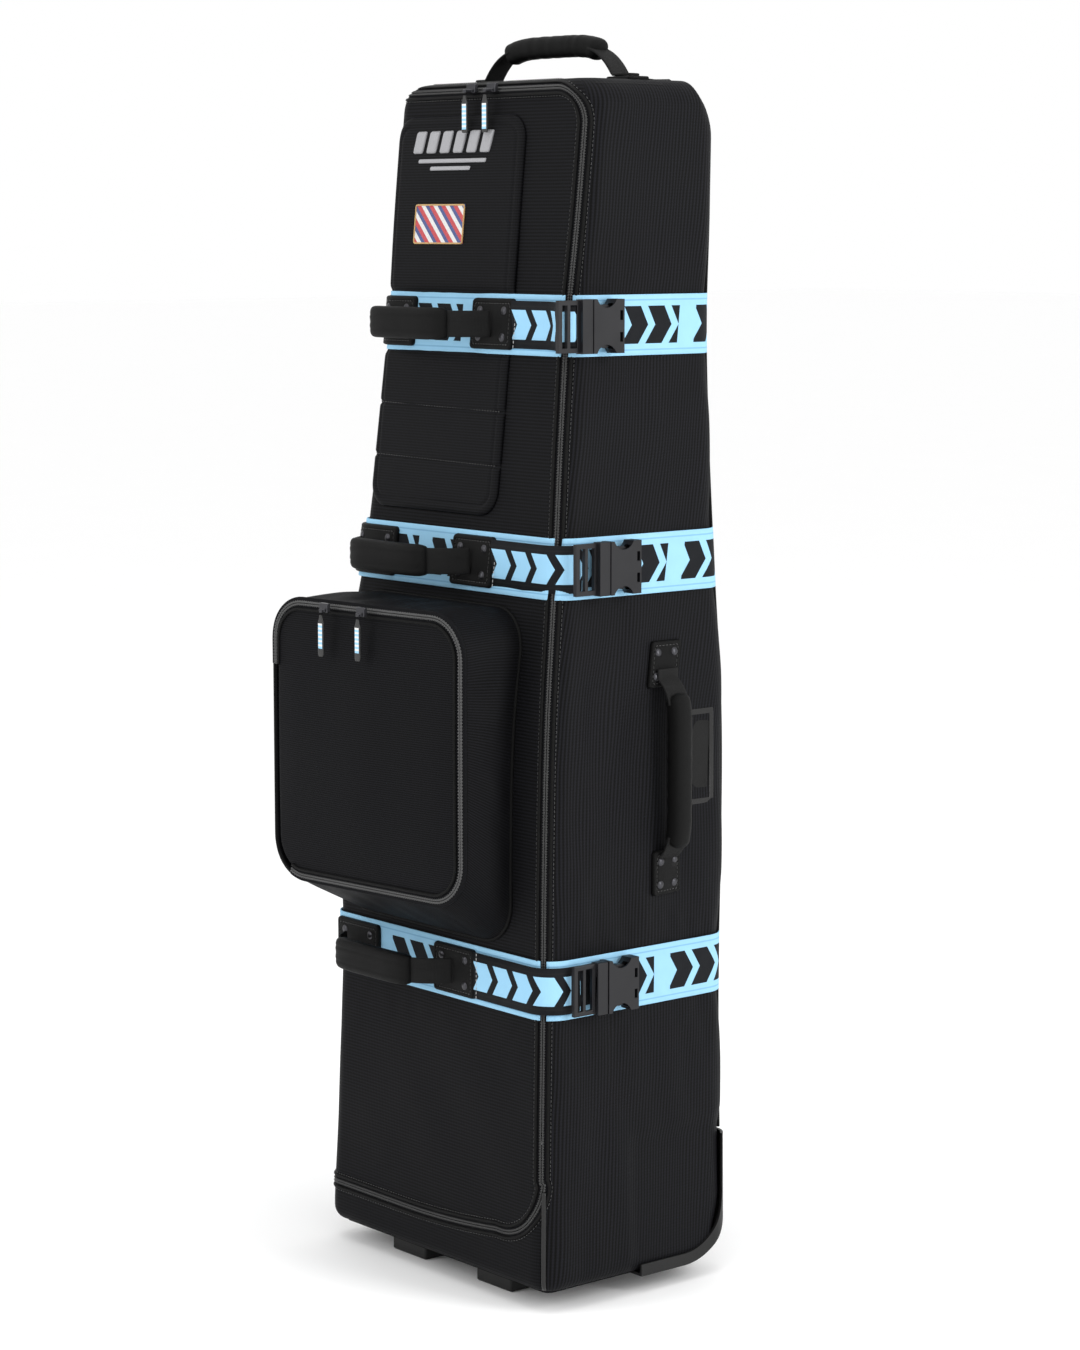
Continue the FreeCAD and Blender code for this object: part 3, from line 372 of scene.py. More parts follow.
def softened(node, name, width=1.0 * MM, segments=2):
    """A copy of a moulded CAD piece with its edges rounded over."""
    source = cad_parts[node]
    mesh = source.data.copy()
    b = bmesh.new()
    b.from_mesh(mesh)
    bmesh.ops.remove_doubles(b, verts=b.verts, dist=0.01 * MM)
    bmesh.ops.dissolve_limit(b, angle_limit=math.radians(3), verts=b.verts, edges=b.edges)
    b.to_mesh(mesh)
    b.free()
    thing = bpy.data.objects.new(name, mesh)
    bpy.context.scene.collection.objects.link(thing)
    bevel = thing.modifiers.new("edges", "BEVEL")
    bevel.width = width
    bevel.segments = segments
    bevel.limit_method = "ANGLE"
    bevel.angle_limit = math.radians(32)
    bevel.harden_normals = False
    mesh.polygons.foreach_set("use_smooth", np.full(len(mesh.polygons), True))
    mesh.set_sharp_from_angle(angle=math.radians(40))
    return thing


def merge(name, things):
    """Joins several meshes made here into one piece, with their modifiers applied."""
    depsgraph = bpy.context.evaluated_depsgraph_get()
    b = bmesh.new()
    for t in things:
        done = bpy.data.meshes.new_from_object(t.evaluated_get(depsgraph))
        b.from_mesh(done)
        bpy.data.meshes.remove(done)
        bpy.data.objects.remove(t)
    mesh = bpy.data.meshes.new(name)
    b.to_mesh(mesh)
    b.free()
    thing = bpy.data.objects.new(name, mesh)
    bpy.context.scene.collection.objects.link(thing)
    mesh.polygons.foreach_set("use_smooth", np.full(len(mesh.polygons), True))
    return thing


def without(thing, inside):
    """Takes away the faces whose centres lie inside a region."""
    centres = np.empty(len(thing.data.polygons) * 3, dtype=np.float32)
    thing.data.polygons.foreach_get("center", centres)
    gone = inside(centres.reshape(-1, 3))
    b = bmesh.new()
    b.from_mesh(thing.data)
    b.faces.ensure_lookup_table()
    bmesh.ops.delete(b, geom=[b.faces[i] for i in np.flatnonzero(gone)], context="FACES")
    b.to_mesh(thing.data)
    b.free()
    return thing


def ends_of(path, put, lift):
    """Positions, unit tangents, sideways directions and normals of a path of (p, z) pairs on a surface."""
    path = np.asarray(path, float)
    p, z = path[:, 0], path[:, 1]
    here = put(p, z, lift)
    step = 0.5 * MM
    across, upward = put(p + step, z, lift) - put(p - step, z, lift), put(p, z + step, lift) - put(
        p, z - step, lift)
    normal = np.cross(across, upward)
    normal = normal / np.linalg.norm(normal, axis=-1, keepdims=True)
    tangent = np.gradient(here, axis=0)
    tangent = tangent / np.linalg.norm(tangent, axis=-1, keepdims=True)
    return here, tangent, np.cross(normal, tangent), normal


def evenly(path, pitch):
    """The path resampled in steps of about pitch."""
    path = np.asarray(path, float)
    run = np.concatenate([[0], np.cumsum(np.linalg.norm(np.diff(path, axis=0), axis=1))])
    count = max(2, int(round(run[-1] / pitch)) + 1)
    at = np.linspace(0, run[-1], count)
    return np.stack([np.interp(at, run, path[:, 0]), np.interp(at, run, path[:, 1])], -1)


def trim(name, path, section, put=wall, closed=False):
    """A closed section of (left, lift) offsets carried along a path of (p, z) pairs on a surface: left is
    to the left of the path seen from outside. The section may change along the path. UVs are (run, left)."""
    path = np.asarray(path, float)
    if closed:
        direction = np.roll(path, -1, 0) - np.roll(path, 1, 0)
    else:
        direction = np.gradient(path, axis=0)
    direction = direction / np.linalg.norm(direction, axis=1, keepdims=True)
    left = np.stack([-direction[:, 1], direction[:, 0]], -1)
    section = np.broadcast_to(section, (len(path),) + section.shape[-2:])
    p = path[:, :1] + left[:, :1] * section[..., 0]
    z = path[:, 1:] + left[:, 1:] * section[..., 0]
    points = put(p, z, section[..., 1])
    run = np.concatenate([[0], np.cumsum(np.linalg.norm(np.diff(path, axis=0), axis=1))])
    uv = np.stack(np.broadcast_arrays(run[:, None], section[..., 0]), -1)
    rows, cols = points.shape[:2]
    faces = grid_faces(rows, cols, wrap_rows=closed, wrap_cols=True).tolist()
    if not closed:
        faces.append(list(range(cols)))
        faces.append(list(range((rows - 1) * cols, rows * cols))[::-1])
    return fix_outward(new_object(name, points, faces, uv))


def flat_section(width, low, high, edge=0.6 * MM, count=14, middle=0.0):
    """A flat band's section: a rectangle with its corners taken off, with count points across each face."""
    t = np.linspace(-1, 1, count) * (width / 2 - edge)
    top = np.stack([t, 0 * t + high], -1)
    bottom = np.stack([t[::-1], 0 * t + low], -1)
    rise = (high - low) / 2
    right = np.array([[width / 2, low + rise * 1.4], [width / 2, low + rise * 0.6]])
    left = np.array([[-width / 2, low + rise * 0.6], [-width / 2, low + rise * 1.4]])
    return np.concatenate([top, right, bottom, left]) + [middle, 0]


def round_section(radius, middle=0.0, lift=0.0, count=8):
    """A round cord's section."""
    t = np.arange(count) / count * 2 * math.pi
    return np.stack([middle + radius * np.cos(t), lift + radius * np.sin(t)], -1)


def stitches(name, path, lift, put=wall, long=3.2 * MM, gap=1.4 * MM, thick=0.45 * MM):
    """Thread: one small spindle for each stitch, along a path on a surface."""
    path = evenly(path, long + gap)
    here, tangent, side, normal = ends_of(path, put, lift)
    along = np.array([-0.5, -0.36, -0.36, -0.36, -0.36, 0.36, 0.36, 0.36, 0.36, 0.5]) * long
    ring = np.array([0, 1, 0, -1, 0, 1, 0, -1, 0, 0]) * thick
    rise = np.array([-0.6, 0, 1, 0, -1, 0, 1, 0, -1, -0.6]) * thick
    spots = (here[:, None] + tangent[:, None] * along[None, :, None] + side[:, None] * ring[None, :, None]
             + normal[:, None] * rise[None, :, None])
    one = [[0, 1 + i, 1 + (i + 1) % 4] for i in range(4)]
    one += [[1 + i, 5 + i, 5 + (i + 1) % 4, 1 + (i + 1) % 4] for i in range(4)]
    one += [[9, 5 + (i + 1) % 4, 5 + i] for i in range(4)]
    faces = [[k * 10 + c for c in face] for k in range(len(spots)) for face in one]
    return fix_outward(new_object(name, spots, faces))


def turned(name, profile, centre, axis, spokes=64):
    """A profile of (along, radius) pairs turned about an axis through a centre."""
    profile = np.asarray(profile, float)
    axis = np.asarray(axis, float)
    a = np.cross(axis, [0, 0, 1.0])
    a = a / np.linalg.norm(a)
    b = np.cross(axis, a)
    turn = np.arange(spokes) / spokes * 2 * math.pi
    ring = a * np.cos(turn)[:, None] + b * np.sin(turn)[:, None]
    points = np.asarray(centre) + axis * profile[:, 0, None, None] + ring[None] * profile[:, 1, None, None]
    faces = grid_faces(len(profile), spokes, wrap_rows=True, wrap_cols=True)
    return fix_outward(new_object(name, points, faces))


def box_path(x, z, corner, count=8):
    """A closed rounded rectangle as (p, z) pairs, from the middle of its lower edge towards +p."""
    quarter = np.linspace(0, math.pi / 2, count)
    spots = []
    for sx, sz, turn in ((1, -1, -math.pi / 2), (1, 1, 0), (-1, 1, math.pi / 2), (-1, -1, math.pi)):
        cx, cz = (x[1] - corner if sx > 0 else x[0] + corner), (z[1] - corner if sz > 0 else z[0] + corner)
        spots.append(np.stack([cx + corner * np.cos(turn + quarter), cz + corner * np.sin(turn + quarter)],
                              -1))
    spots = np.concatenate(spots)
    return np.concatenate([spots, spots[:1]])


# ---- materials ----
class Signal:
    """A value inside a finish. A sum of signals adds Math nodes."""

    def __init__(self, finish, socket):
        self.finish = finish
        self.socket = socket

    def math(self, operation, *others):
        return self.finish.make("ShaderNodeMath", {"operation": operation}, self, *others)

    def __add__(self, other):
        return self.math("ADD", other)

    def __sub__(self, other):
        return self.math("SUBTRACT", other)

    def __rsub__(self, other):
        return self.finish.make("ShaderNodeMath", {"operation": "SUBTRACT"}, other, self)

    def __mul__(self, other):
        return self.math("MULTIPLY", other)

    def __truediv__(self, other):
        return self.math("DIVIDE", other)

    def __gt__(self, other):
        return self.math("GREATER_THAN", other)

    def __lt__(self, other):
        return self.math("LESS_THAN", other)

    __radd__ = __add__
    __rmul__ = __mul__

    def sin(self):
        return self.math("SINE")

    def fraction(self):
        return self.math("FRACT")

    def size(self):
        return self.math("ABSOLUTE")

    def steps(self):
        return self.math("FLOOR")


class Finish:
    """A material: its fixed shader settings, and one method that adds any node."""

    def __init__(self, name, **fixed):
        self.material = bpy.data.materials.new(name)
        self.material.use_nodes = True
        self.shader = self.material.node_tree.nodes["Principled BSDF"]
        for word, number in fixed.items():
            self.shader.inputs[word.replace("_", " ")].default_value = number

    def make(self, kind, settings, *inputs, out=0, **named):
        node = self.material.node_tree.nodes.new(kind)
        for word, value in settings.items():
            setattr(node, word, value)
        for i, value in list(enumerate(inputs)) + [(word.replace("_", " "), v) for word, v in named.items()]:
            self.feed(node.inputs[i], value)
        return Signal(self, node.outputs[out])

    def feed(self, socket, value):
        if isinstance(value, Signal):
            self.material.node_tree.links.new(value.socket, socket)
        else:
            socket.default_value = value

    def where(self, kind="UV"):
        return self.make("ShaderNodeTexCoord", {}, out=kind)

    def parts(self, vector):
        node = self.make("ShaderNodeSeparateXYZ", {}, vector).socket.node
        return [Signal(self, output) for output in node.outputs]

    def noise(self, vector, scale, detail=2.0, stretch=(1, 1, 1)):
        if stretch != (1, 1, 1):
            vector = self.make("ShaderNodeMapping", {}, vector, Scale=stretch)
        return self.make("ShaderNodeTexNoise", {}, vector, Scale=scale, Detail=detail)

    def colours(self, share, a, b):
        node = self.material.node_tree.nodes.new("ShaderNodeMix")
        node.data_type = "RGBA"
        for i, value in ((0, share), (6, a), (7, b)):
            self.feed(node.inputs[i], value)
        return Signal(self, node.outputs[2])

    def shade(self, **linked):
        for word, value in linked.items():
            self.feed(self.shader.inputs[word.replace("_", " ")], value)
        return self

    def bump(self, height, distance, strength=1.0):
        return self.shade(Normal=self.make("ShaderNodeBump", {}, Height=height, Distance=distance,
                                           Strength=strength))


def tint(r, g=None, b=None):
    """A colour with its alpha; one number is a grey."""
    return (r, r if g is None else g, r if b is None else b, 1.0)


def woven_cloth(name, tone, pitch, direction, wander, gloss=0.62):
    """Ripstop-like cloth: a sine across the ribs whose place wanders with a slow noise, over a fine grain."""
    f = Finish(name, Roughness=gloss, Specular_IOR_Level=0.07)
    where = f.where()
    u, v, _ = f.parts(where)
    across, along = (v, u) if direction == "level" else (u, v)
    drift = f.noise(where, 1.0, 2.0, (14, 4, 1) if direction == "upright" else (5, 9, 1)) * wander
    ribs = ((across + drift) * (2 * math.pi / pitch)).sin()
    crossing = ((along + drift * 0.2) * (2 * math.pi / (pitch * 0.8))).sin()
    grain = f.noise(where, 1700, 2.0)
    patches = f.noise(where, 9, 3.0)
    height = ribs * 0.5 + crossing * 0.25 + grain * 0.6
    shade = ribs * 0.5 + crossing * 0.08 + grain * 0.5 + patches * 0.4
    f.shade(Base_Color=f.colours(shade, tint(tone * 0.4), tint(tone * 1.5, tone * 1.52, tone * 1.9)),
            Roughness=gloss - 0.1 + patches * 0.2)
    return f.bump(height, 0.25 * MM, 0.55).material


def webbing(name, ground, marks, width, border):
    """Woven strap: a fine crosswise rib, darker lines by the edges, chevrons in groups in the middle."""
    f = Finish(name, Roughness=0.72, Specular_IOR_Level=0.15)
    where = f.where()
    u, v, _ = f.parts(where)
    half = width / 2
    rib = (u * (2 * math.pi / (1.5 * MM))).sin()
    weft = (v * (2 * math.pi / (1.1 * MM)) + (u / (1.5 * MM)).steps() * math.pi).sin()
    cloudy = f.noise(where, 60, 3.0)
    high = v.size()
    edge_line = (high > half - 6.5 * MM) * (high < half - 5.0 * MM)
    colour = f.colours(rib * 0.18 + weft * 0.14 + cloudy * 0.5, ground, tuple(c * 0.74 for c in ground[:3])
                       + (1.0,))
    colour = f.colours(edge_line * 0.55, colour, border)
    if marks is not None:
        lean = (u + high * 0.62) / (33 * MM)
        inside = (high < half * 0.62) * ((u / (165 * MM)).fraction() < 0.86)
        chevron = (lean.fraction() > 0.30) * inside
        colour = f.colours(chevron, colour, marks)
        height = rib * 0.5 + weft * 0.4 + chevron * 0.5
    else:
        height = rib * 0.5 + weft * 0.4
    f.shade(Base_Color=colour, Roughness=0.62 + cloudy * 0.2)
    return f.bump(height, 0.3 * MM, 0.6).material


def moulded(name, tone, gloss, grain=900, depth=0.06 * MM, metal=0.0, wear=0.25):
    """Moulded plastic, rubber or metal: a fine grain, with slow changes of gloss and paler worn spots."""
    f = Finish(name, Roughness=gloss, Metallic=metal, Specular_IOR_Level=0.24)
    where = f.where("Object")
    fine = f.noise(where, grain, 2.0)
    slow = f.noise(where, 24, 3.0)
    worn = tuple(min(1.0, c * 1.9 + 0.01) for c in tone[:3]) + (1.0,)
    f.shade(Base_Color=f.colours(slow * wear + fine * wear * 0.5, tone, worn), Roughness=gloss - 0.12 + slow
            * 0.24)
    return f.bump(fine, depth, 0.7).material


def coated(name, tone):
    """Coated pad cloth: a plain over-and-under weave as the product of two sines, with a little sheen."""
    f = Finish(name, Roughness=0.5, Specular_IOR_Level=0.1)
    where = f.where("Object")
    x, y, z = f.parts(where)
    pitch = 2 * math.pi / (1.3 * MM)
    weave = ((x + y) * pitch).sin() * (z * pitch).sin()
    slow = f.noise(where, 40, 3.0)
    f.shade(Base_Color=f.colours(weave * 0.3 + slow * 0.5, tint(tone * 0.6), tint(tone * 1.8)),
            Roughness=0.46 + slow * 0.2)
    return f.bump(weave, 0.22 * MM, 0.6).material


def thread(name, tone, shine=0.45):
    """Sewing thread: a twist as slanted lines, finely grained."""
    f = Finish(name, Roughness=shine, Sheen_Weight=0.2)
    where = f.where("Object")
    x, y, z = f.parts(where)
    twist = ((x + y + z) * (2 * math.pi / (0.9 * MM))).sin()
    f.shade(Base_Color=f.colours(twist * 0.3 + 0.4, tone, tuple(c * 0.6 for c in tone[:3]) + (1.0,)))
    return f.bump(twist, 0.12 * MM, 0.5).material


SKY = tint(0.31, 0.585, 0.80)
INK = tint(0.006, 0.007, 0.009)
side_cloth = woven_cloth("side_cloth", 0.0064, 4.2 * MM, "upright", 16 * MM)
door_cloth = woven_cloth("door_cloth", 0.0050, 3.6 * MM, "level", 1.2 * MM)
quilt_cloth = woven_cloth("quilt_cloth", 0.0052, 3.0 * MM, "level", 0.8 * MM, 0.58)
pocket_cloth = woven_cloth("pocket_cloth", 0.0052, 2.4 * MM, "level", 2.0 * MM, 0.66)
gusset_cloth = woven_cloth("gusset_cloth", 0.0048, 2.8 * MM, "upright", 2.0 * MM)
sky_webbing = webbing("sky_webbing", SKY, INK, STRAP_WIDTH, tint(0.12, 0.30, 0.50))
tail_webbing = webbing("tail_webbing", INK, SKY, TAIL_WIDTH, tint(0.012))
plain_webbing = webbing("plain_webbing", tint(0.011), None, 40 * MM, tint(0.004))
tape_cloth = woven_cloth("tape_cloth", 0.006, 1.2 * MM, "upright", 0.1 * MM, 0.7)
pad_cloth = coated("pad_cloth", 0.0045)
coil_plastic = moulded("coil_plastic", tint(0.03), 0.22)
tooth_plastic = moulded("tooth_plastic", tint(0.06), 0.34)
buckle_plastic = moulded("buckle_plastic", tint(0.008, 0.008, 0.0095), 0.36, 1400, 0.05 * MM)
gunmetal = moulded("gunmetal", tint(0.045, 0.045, 0.05), 0.32, 500, 0.03 * MM, metal=0.85)
axle_steel = moulded("axle_steel", tint(0.42), 0.3, 300, 0.02 * MM, metal=1.0)
kick_plastic = moulded("kick_plastic", tint(0.007), 0.48, 700, 0.1 * MM)
wheel_rubber = moulded("wheel_rubber", tint(0.009), 0.68, 500, 0.12 * MM, wear=0.5)
hub_plastic = moulded("hub_plastic", tint(0.03), 0.4)
binding_cloth = coated("binding_cloth", 0.005)
glossy_cord = moulded("glossy_cord", tint(0.012), 0.3)
lining_cloth = coated("lining_cloth", 0.02)
dark_thread = thread("dark_thread", tint(0.02))
pale_thread = thread("pale_thread", tint(0.62))
silver_thread = thread("silver_thread", tint(0.36, 0.36, 0.38), 0.35)
gold_thread = thread("gold_thread", tint(0.60, 0.36, 0.12))


def badge_cloth():
    """Embroidered patch: slanting stripes of red, white and blue in satin stitch."""
    f = Finish("badge_cloth", Roughness=0.6, Sheen_Weight=0.2)
    u, v, _ = f.parts(f.where())
    satin = (u * (2 * math.pi / (0.8 * MM))).sin()
    share = ((u + v) / (21 * MM)).fraction()
    colour = f.colours(share < 0.36, tint(0.80, 0.80, 0.78), tint(0.55, 0.03, 0.04))
    colour = f.colours(share > 0.70, colour, tint(0.03, 0.06, 0.24))
    f.shade(Base_Color=f.colours(satin * 0.12 + 0.12, colour, INK))
    return f.bump(satin, 0.2 * MM, 0.6).material


def tab_rubber():
    """Pull tab: black, with a pale blue inlay crossed by white dashes on its outer face."""
    f = Finish("tab_rubber", Roughness=0.45)
    u, v, _ = f.parts(f.where())
    inlay = ((v - 0.25).size() < 0.085) * (u > 9 * MM) * (u < 36 * MM)
    dash = ((u / (4.5 * MM)).fraction() < 0.45) * inlay
    grain = f.noise(f.where("Object"), 800)
    colour = f.colours(inlay, f.colours(grain, tint(0.008), tint(0.02)), SKY)
    f.shade(Base_Color=f.colours(dash, colour, tint(0.75)))
    return f.bump(inlay * 0.6 + grain * 0.3, 0.2 * MM).material


def clear_pane():
    """Clear film over the tag: mostly see-through, with a glossy surface and faint scuffs."""
    f = Finish("clear_pane", Roughness=0.12)
    scuff = f.noise(f.where("Object"), 120, 4.0)
    f.shade(Base_Color=f.colours(scuff, tint(0.02), tint(0.10)), Alpha=0.30 + scuff * 0.15,
            Roughness=0.08 + scuff * 0.15)
    return f.material


badge = badge_cloth()
tab_finish = tab_rubber()
pane_finish = clear_pane()


# ---- hand-over of each piece ----
def finish_piece(thing, material, body, replaced=()):
    """Gives a piece its material, its body and the CAD nodes that it stands for."""
    thing.data.materials.clear()
    thing.data.materials.append(material)
    if body:
        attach(thing, body)
    if replaced:
        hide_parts(*replaced)
    return thing


def repaint(node, material):
    """A CAD node keeps its shape and takes a better material."""
    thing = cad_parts[node]
    for place in thing.material_slots:
        place.link = "OBJECT"
        place.material = material


def rear_edge(z):
    """How far round the section the rear corner's turn ends."""
    return half_at(z) + depth_at(z) + (math.pi / 2 - 2) * FRONT_ROUND - REAR_ROUND + math.pi / 2 * REAR_ROUND


def curled_heights(middle=200, ends=16):
    """Heights from floor to top that crowd where the cloth curls in at the two rims."""
    turn = np.linspace(0, math.pi / 2, ends)
    low = FLOOR_GAP + HEEL_ROUND * (1 - np.cos(turn))
    high = TOP - NAPE_ROUND * (1 - np.cos(turn))[::-1]
    rims = FLOOR_GAP + RIM_ROUND * (1 - np.cos(turn[:8]))
    tops = TOP - RIM_ROUND * (1 - np.cos(turn[:8]))
    return np.unique(np.round(np.concatenate([low, np.linspace(low[-1], high[0], middle), high, rims, tops]),
                              6))


def dressed(p, z, off=0.0):
    """The wall with the cloth's soft relief, which dies away at the rims and beside the zip."""
    fade = np.clip(np.minimum(z - FLOOR_GAP, TOP - z) / (25 * MM), 0, 1)
    seam = 1 - near(p, seam_right(z), 12 * MM)
    return wall(p, z, off + cloth_relief(p, z) * fade * seam)


def cloth_panel(name, first, last, cols, z=None):
    """A cloth panel between two edges, each a function of height. UVs are (round the case, height)."""
    z = (curled_heights() if z is None else z)[:, None]
    p = first(z) + (last(z) - first(z)) * np.linspace(0, 1, cols)[None]
    zz = z + 0 * p
    return thicken(grid(name, dressed(p, zz), np.stack([p, zz], -1)), 2.6 * MM)


def wheel_room(c):
    """The two slots for the wheels, in the rear lower corner."""
    across = np.abs(np.abs(c[:, 0] - MIDDLE) - 140 * MM)
    return (across < 16.5 * MM) & (c[:, 2] < 86 * MM) & (c[:, 1] > REAR - 88 * MM)


# ---- shell: right side, left side, back, top and base ----
right_side = cloth_panel("right_side_cloth", lambda z: seam_right(z) + 1 * MM, rear_edge, 84)
finish_piece(right_side, side_cloth, "shell", ["right_side_panel"])
left_side = cloth_panel("left_side_cloth", lambda z: -rear_edge(z), lambda z: fold_left(z) - 1 * MM, 60)
finish_piece(left_side, side_cloth, "shell", ["left_side_panel"])
back = cloth_panel("back_cloth", rear_edge, lambda z: 2 * half_ring(z) - rear_edge(z), 120)
finish_piece(without(back, wheel_room), side_cloth, "shell", ["back_panel"])


def cap(name, z, drop, rings=26, around=260):
    """Closes the case at one end: the rim's outline drawn in to its middle, sagging by drop."""
    p = np.linspace(-1, 1, around + 1)[:-1] * half_ring(z)
    rim = wall(p, z)
    centre = rim.mean(axis=0)
    share = np.linspace(1, 0.001, rings)[:, None, None]
    points = centre + (rim - centre)[None] * share
    points[..., 2] = z + drop * (1 - share[..., 0]**2)
    points[..., 2] += creases(points[..., 0], points[..., 1], 1.0, 90 * MM, seed=5) * 0.5 * MM * (
        1 - share[..., 0]**4)
    thing = grid(name, points, points[..., :2], wrap_cols=True)
    return thicken(thing, 2.6 * MM)


def strip_of_front(name, low, high, rows=18, cols=120):
    """A strip across the front between two edges given as functions of p."""
    t = spread(rows, 0.8)[:, None]
    end_z = (FLOOR_GAP + DOOR_BOTTOM) / 2 if name.startswith("base") else (TOP + DOOR_TOP) / 2
    p = np.linspace(float(fold_left(end_z)), float(seam_right(end_z)) + 1 * MM, cols)[None]
    zz = low(p) + (high(p) - low(p)) * t
    pp = p + 0 * zz
    return thicken(grid(name, dressed(pp, zz), np.stack([pp, zz], -1)), 2.6 * MM)


top_cap = cap("top_cap", TOP, 0.0)
fix_outward(top_cap)
header = strip_of_front("header", lambda p: door_high(p) + 4 * MM, lambda p: TOP + 0 * p)
top_cloth = merge("top_cloth", [top_cap, header])
finish_piece(top_cloth, door_cloth, "shell", ["top_panel"])
base_cap = without(cap("base_cap", FLOOR_GAP, 0.0), wheel_room)
sill = strip_of_front("base_sill", lambda p: FLOOR_GAP + 0 * p, lambda p: door_low(p) - 4 * MM)
base_cloth = merge("base_cloth", [base_cap, sill])
finish_piece(base_cloth, door_cloth, "shell", ["base_panel"])

# ---- door ----
v = spread(240, 0.25)[:, None]
u = spread(120, 0.7)[None]
z_first = DOOR_BOTTOM + (DOOR_TOP - DOOR_BOTTOM) * v
p_door = fold_left(z_first) + (seam_right(z_first) - 4 * MM - fold_left(z_first)) * u
z_door = door_low(p_door) + 4 * MM + (door_high(p_door) - door_low(p_door) - 8 * MM) * v
door = thicken(grid("door_cloth_panel", dressed(p_door, z_door), np.stack([p_door, z_door], -1)), 2.6 * MM)
finish_piece(door, door_cloth, "door", ["front_panel"])

# ---- main zip: chain halves, tapes and welts along the door's edge ----
bottom_p = np.linspace(float(fold_left(DOOR_BOTTOM)) + 4 * MM, float(seam_right(DOOR_BOTTOM))
                       - DOOR_CORNER_LOW, 200)
turn = np.linspace(0, math.pi / 2, 40)[1:]
low_corner_p = bottom_p[-1] + DOOR_CORNER_LOW * np.sin(turn)
low_corner_z = door_low(bottom_p[-1]) + DOOR_CORNER_LOW * (1 - np.cos(turn))
rise_z = np.linspace(low_corner_z[-1], DOOR_TOP - DOOR_CORNER_HIGH, 500)[1:]
rise_p = seam_right(rise_z)
high_corner_p = rise_p[-1] - DOOR_CORNER_HIGH * (1 - np.cos(turn))
high_corner_z = rise_z[-1] + DOOR_CORNER_HIGH * np.sin(turn)
top_p = np.linspace(high_corner_p[-1], float(fold_left(DOOR_TOP)) + 4 * MM, 200)[1:]
edge = np.concatenate([
    np.stack([bottom_p, door_low(bottom_p)], -1),
    np.stack([low_corner_p, low_corner_z], -1),
    np.stack([rise_p, rise_z], -1),
    np.stack([high_corner_p, high_corner_z], -1),
    np.stack([top_p, np.full_like(top_p, high_corner_z[-1])], -1)])


def chain(name, path, pitch, near_edge, reach, lift, height, put=wall):
    """Half a zip's chain: a section whose reach and height swell and shrink once per tooth."""
    path = evenly(path, pitch / 4)
    beat = 0.5 + 0.5 * np.cos(np.arange(len(path)) * math.pi / 2)
    t = np.linspace(0, math.pi, 5)
    arch = np.stack([(1 - np.cos(t)) / 2, np.sin(t)], -1)
    section = np.empty((len(path), 7, 2))
    grow = 0.62 + 0.38 * beat
    section[:, :5, 0] = near_edge + reach * arch[None, :, 0] * grow[:, None]
    section[:, :5, 1] = lift + height * arch[None, :, 1] * (0.35 + 0.65 * beat)[:, None]
    section[:, 5] = np.stack([near_edge + reach * grow, 0 * grow + lift - 0.6 * MM], -1)
    section[:, 6] = [near_edge, lift - 0.6 * MM]
    return trim(name, path, section, put)


def beside(path, left):
    """The same path, moved to its left."""
    direction = np.gradient(path, axis=0)
    direction = direction / np.linalg.norm(direction, axis=1, keepdims=True)
    return path + left * np.stack([-direction[:, 1], direction[:, 0]], -1)


edge_fine = evenly(edge, 4 * MM)
for half, sign, body, node in (("door", 1, "door", "panel_zip"), ("shell", -1, "shell", "shell_zip")):
    teeth = chain("zip_chain_" + half, edge, 2.9 * MM, 0.15 * MM * sign, 3.0 * MM * sign, 0.5 * MM, 1.9 * MM)
    finish_piece(teeth, coil_plastic, body, [node])
    tape = trim("zip_tape_" + half, edge_fine,
                flat_section(7.6 * MM, -1.0 * MM, 0.2 * MM, middle=4.4 * MM * sign))
    finish_piece(tape, tape_cloth, body)
    welt = trim("zip_welt_" + half, edge_fine, round_section(1.7 * MM, 6.6 * MM * sign, 1.0 * MM, 10))
    finish_piece(welt, binding_cloth, body)
    seam = stitches("zip_seam_" + half, beside(edge_fine, 9.4 * MM * sign), 0.8 * MM)
    finish_piece(seam, dark_thread, body)

# ---- piping down the front right corner below the door, and round the rear edges ----
drop_z = np.linspace(FLOOR_GAP + 4 * MM, float(low_corner_z[-1]) - 8 * MM, 30)
piping = trim("corner_piping", np.stack([seam_right(drop_z) + 3 * MM, drop_z], -1),
              round_section(2.4 * MM, 0, 1.4 * MM, 12))
finish_piece(piping, glossy_cord, "shell")
full_z = np.linspace(0.16, TOP - NAPE_ROUND, 240)
for side, sign in (("right", 1), ("left", -1)):
    line = np.stack([sign * (rear_edge(full_z) - 20 * MM), full_z], -1)
    finish_piece(trim("rear_piping_" + side, line, round_section(1.9 * MM, 0, 0.9 * MM)), binding_cloth,
                 "shell")

# ---- quilted patch with its badges ----
QUILT = ((-155 * MM, 65 * MM), (834 * MM, 1257 * MM))
quilt_middle = (QUILT[1][0] + QUILT[1][1]) / 2


def quilting(x, y, edge_distance):
    """Two sewn channels, stitching inside the edge, a deep channel for the strap, a soft crown."""
    z = y + quilt_middle
    sewn = sum(near(z + 0.015 * x, place * MM, 2.2 * MM) for place in (946, 889))
    border = near(edge_distance, 11 * MM, 1.8 * MM)
    strap = 1 / (1 + np.exp((np.abs(z - STRAPS["upper"]) - 34 * MM) / (1.6 * MM)))
    crown = 1.2 * np.clip(edge_distance / (60 * MM), 0, 1)
    return (-2.2 * sewn - 1.0 * border - 3.6 * strap * np.clip(edge_distance / (3 * MM), 0, 1) + crown) * MM


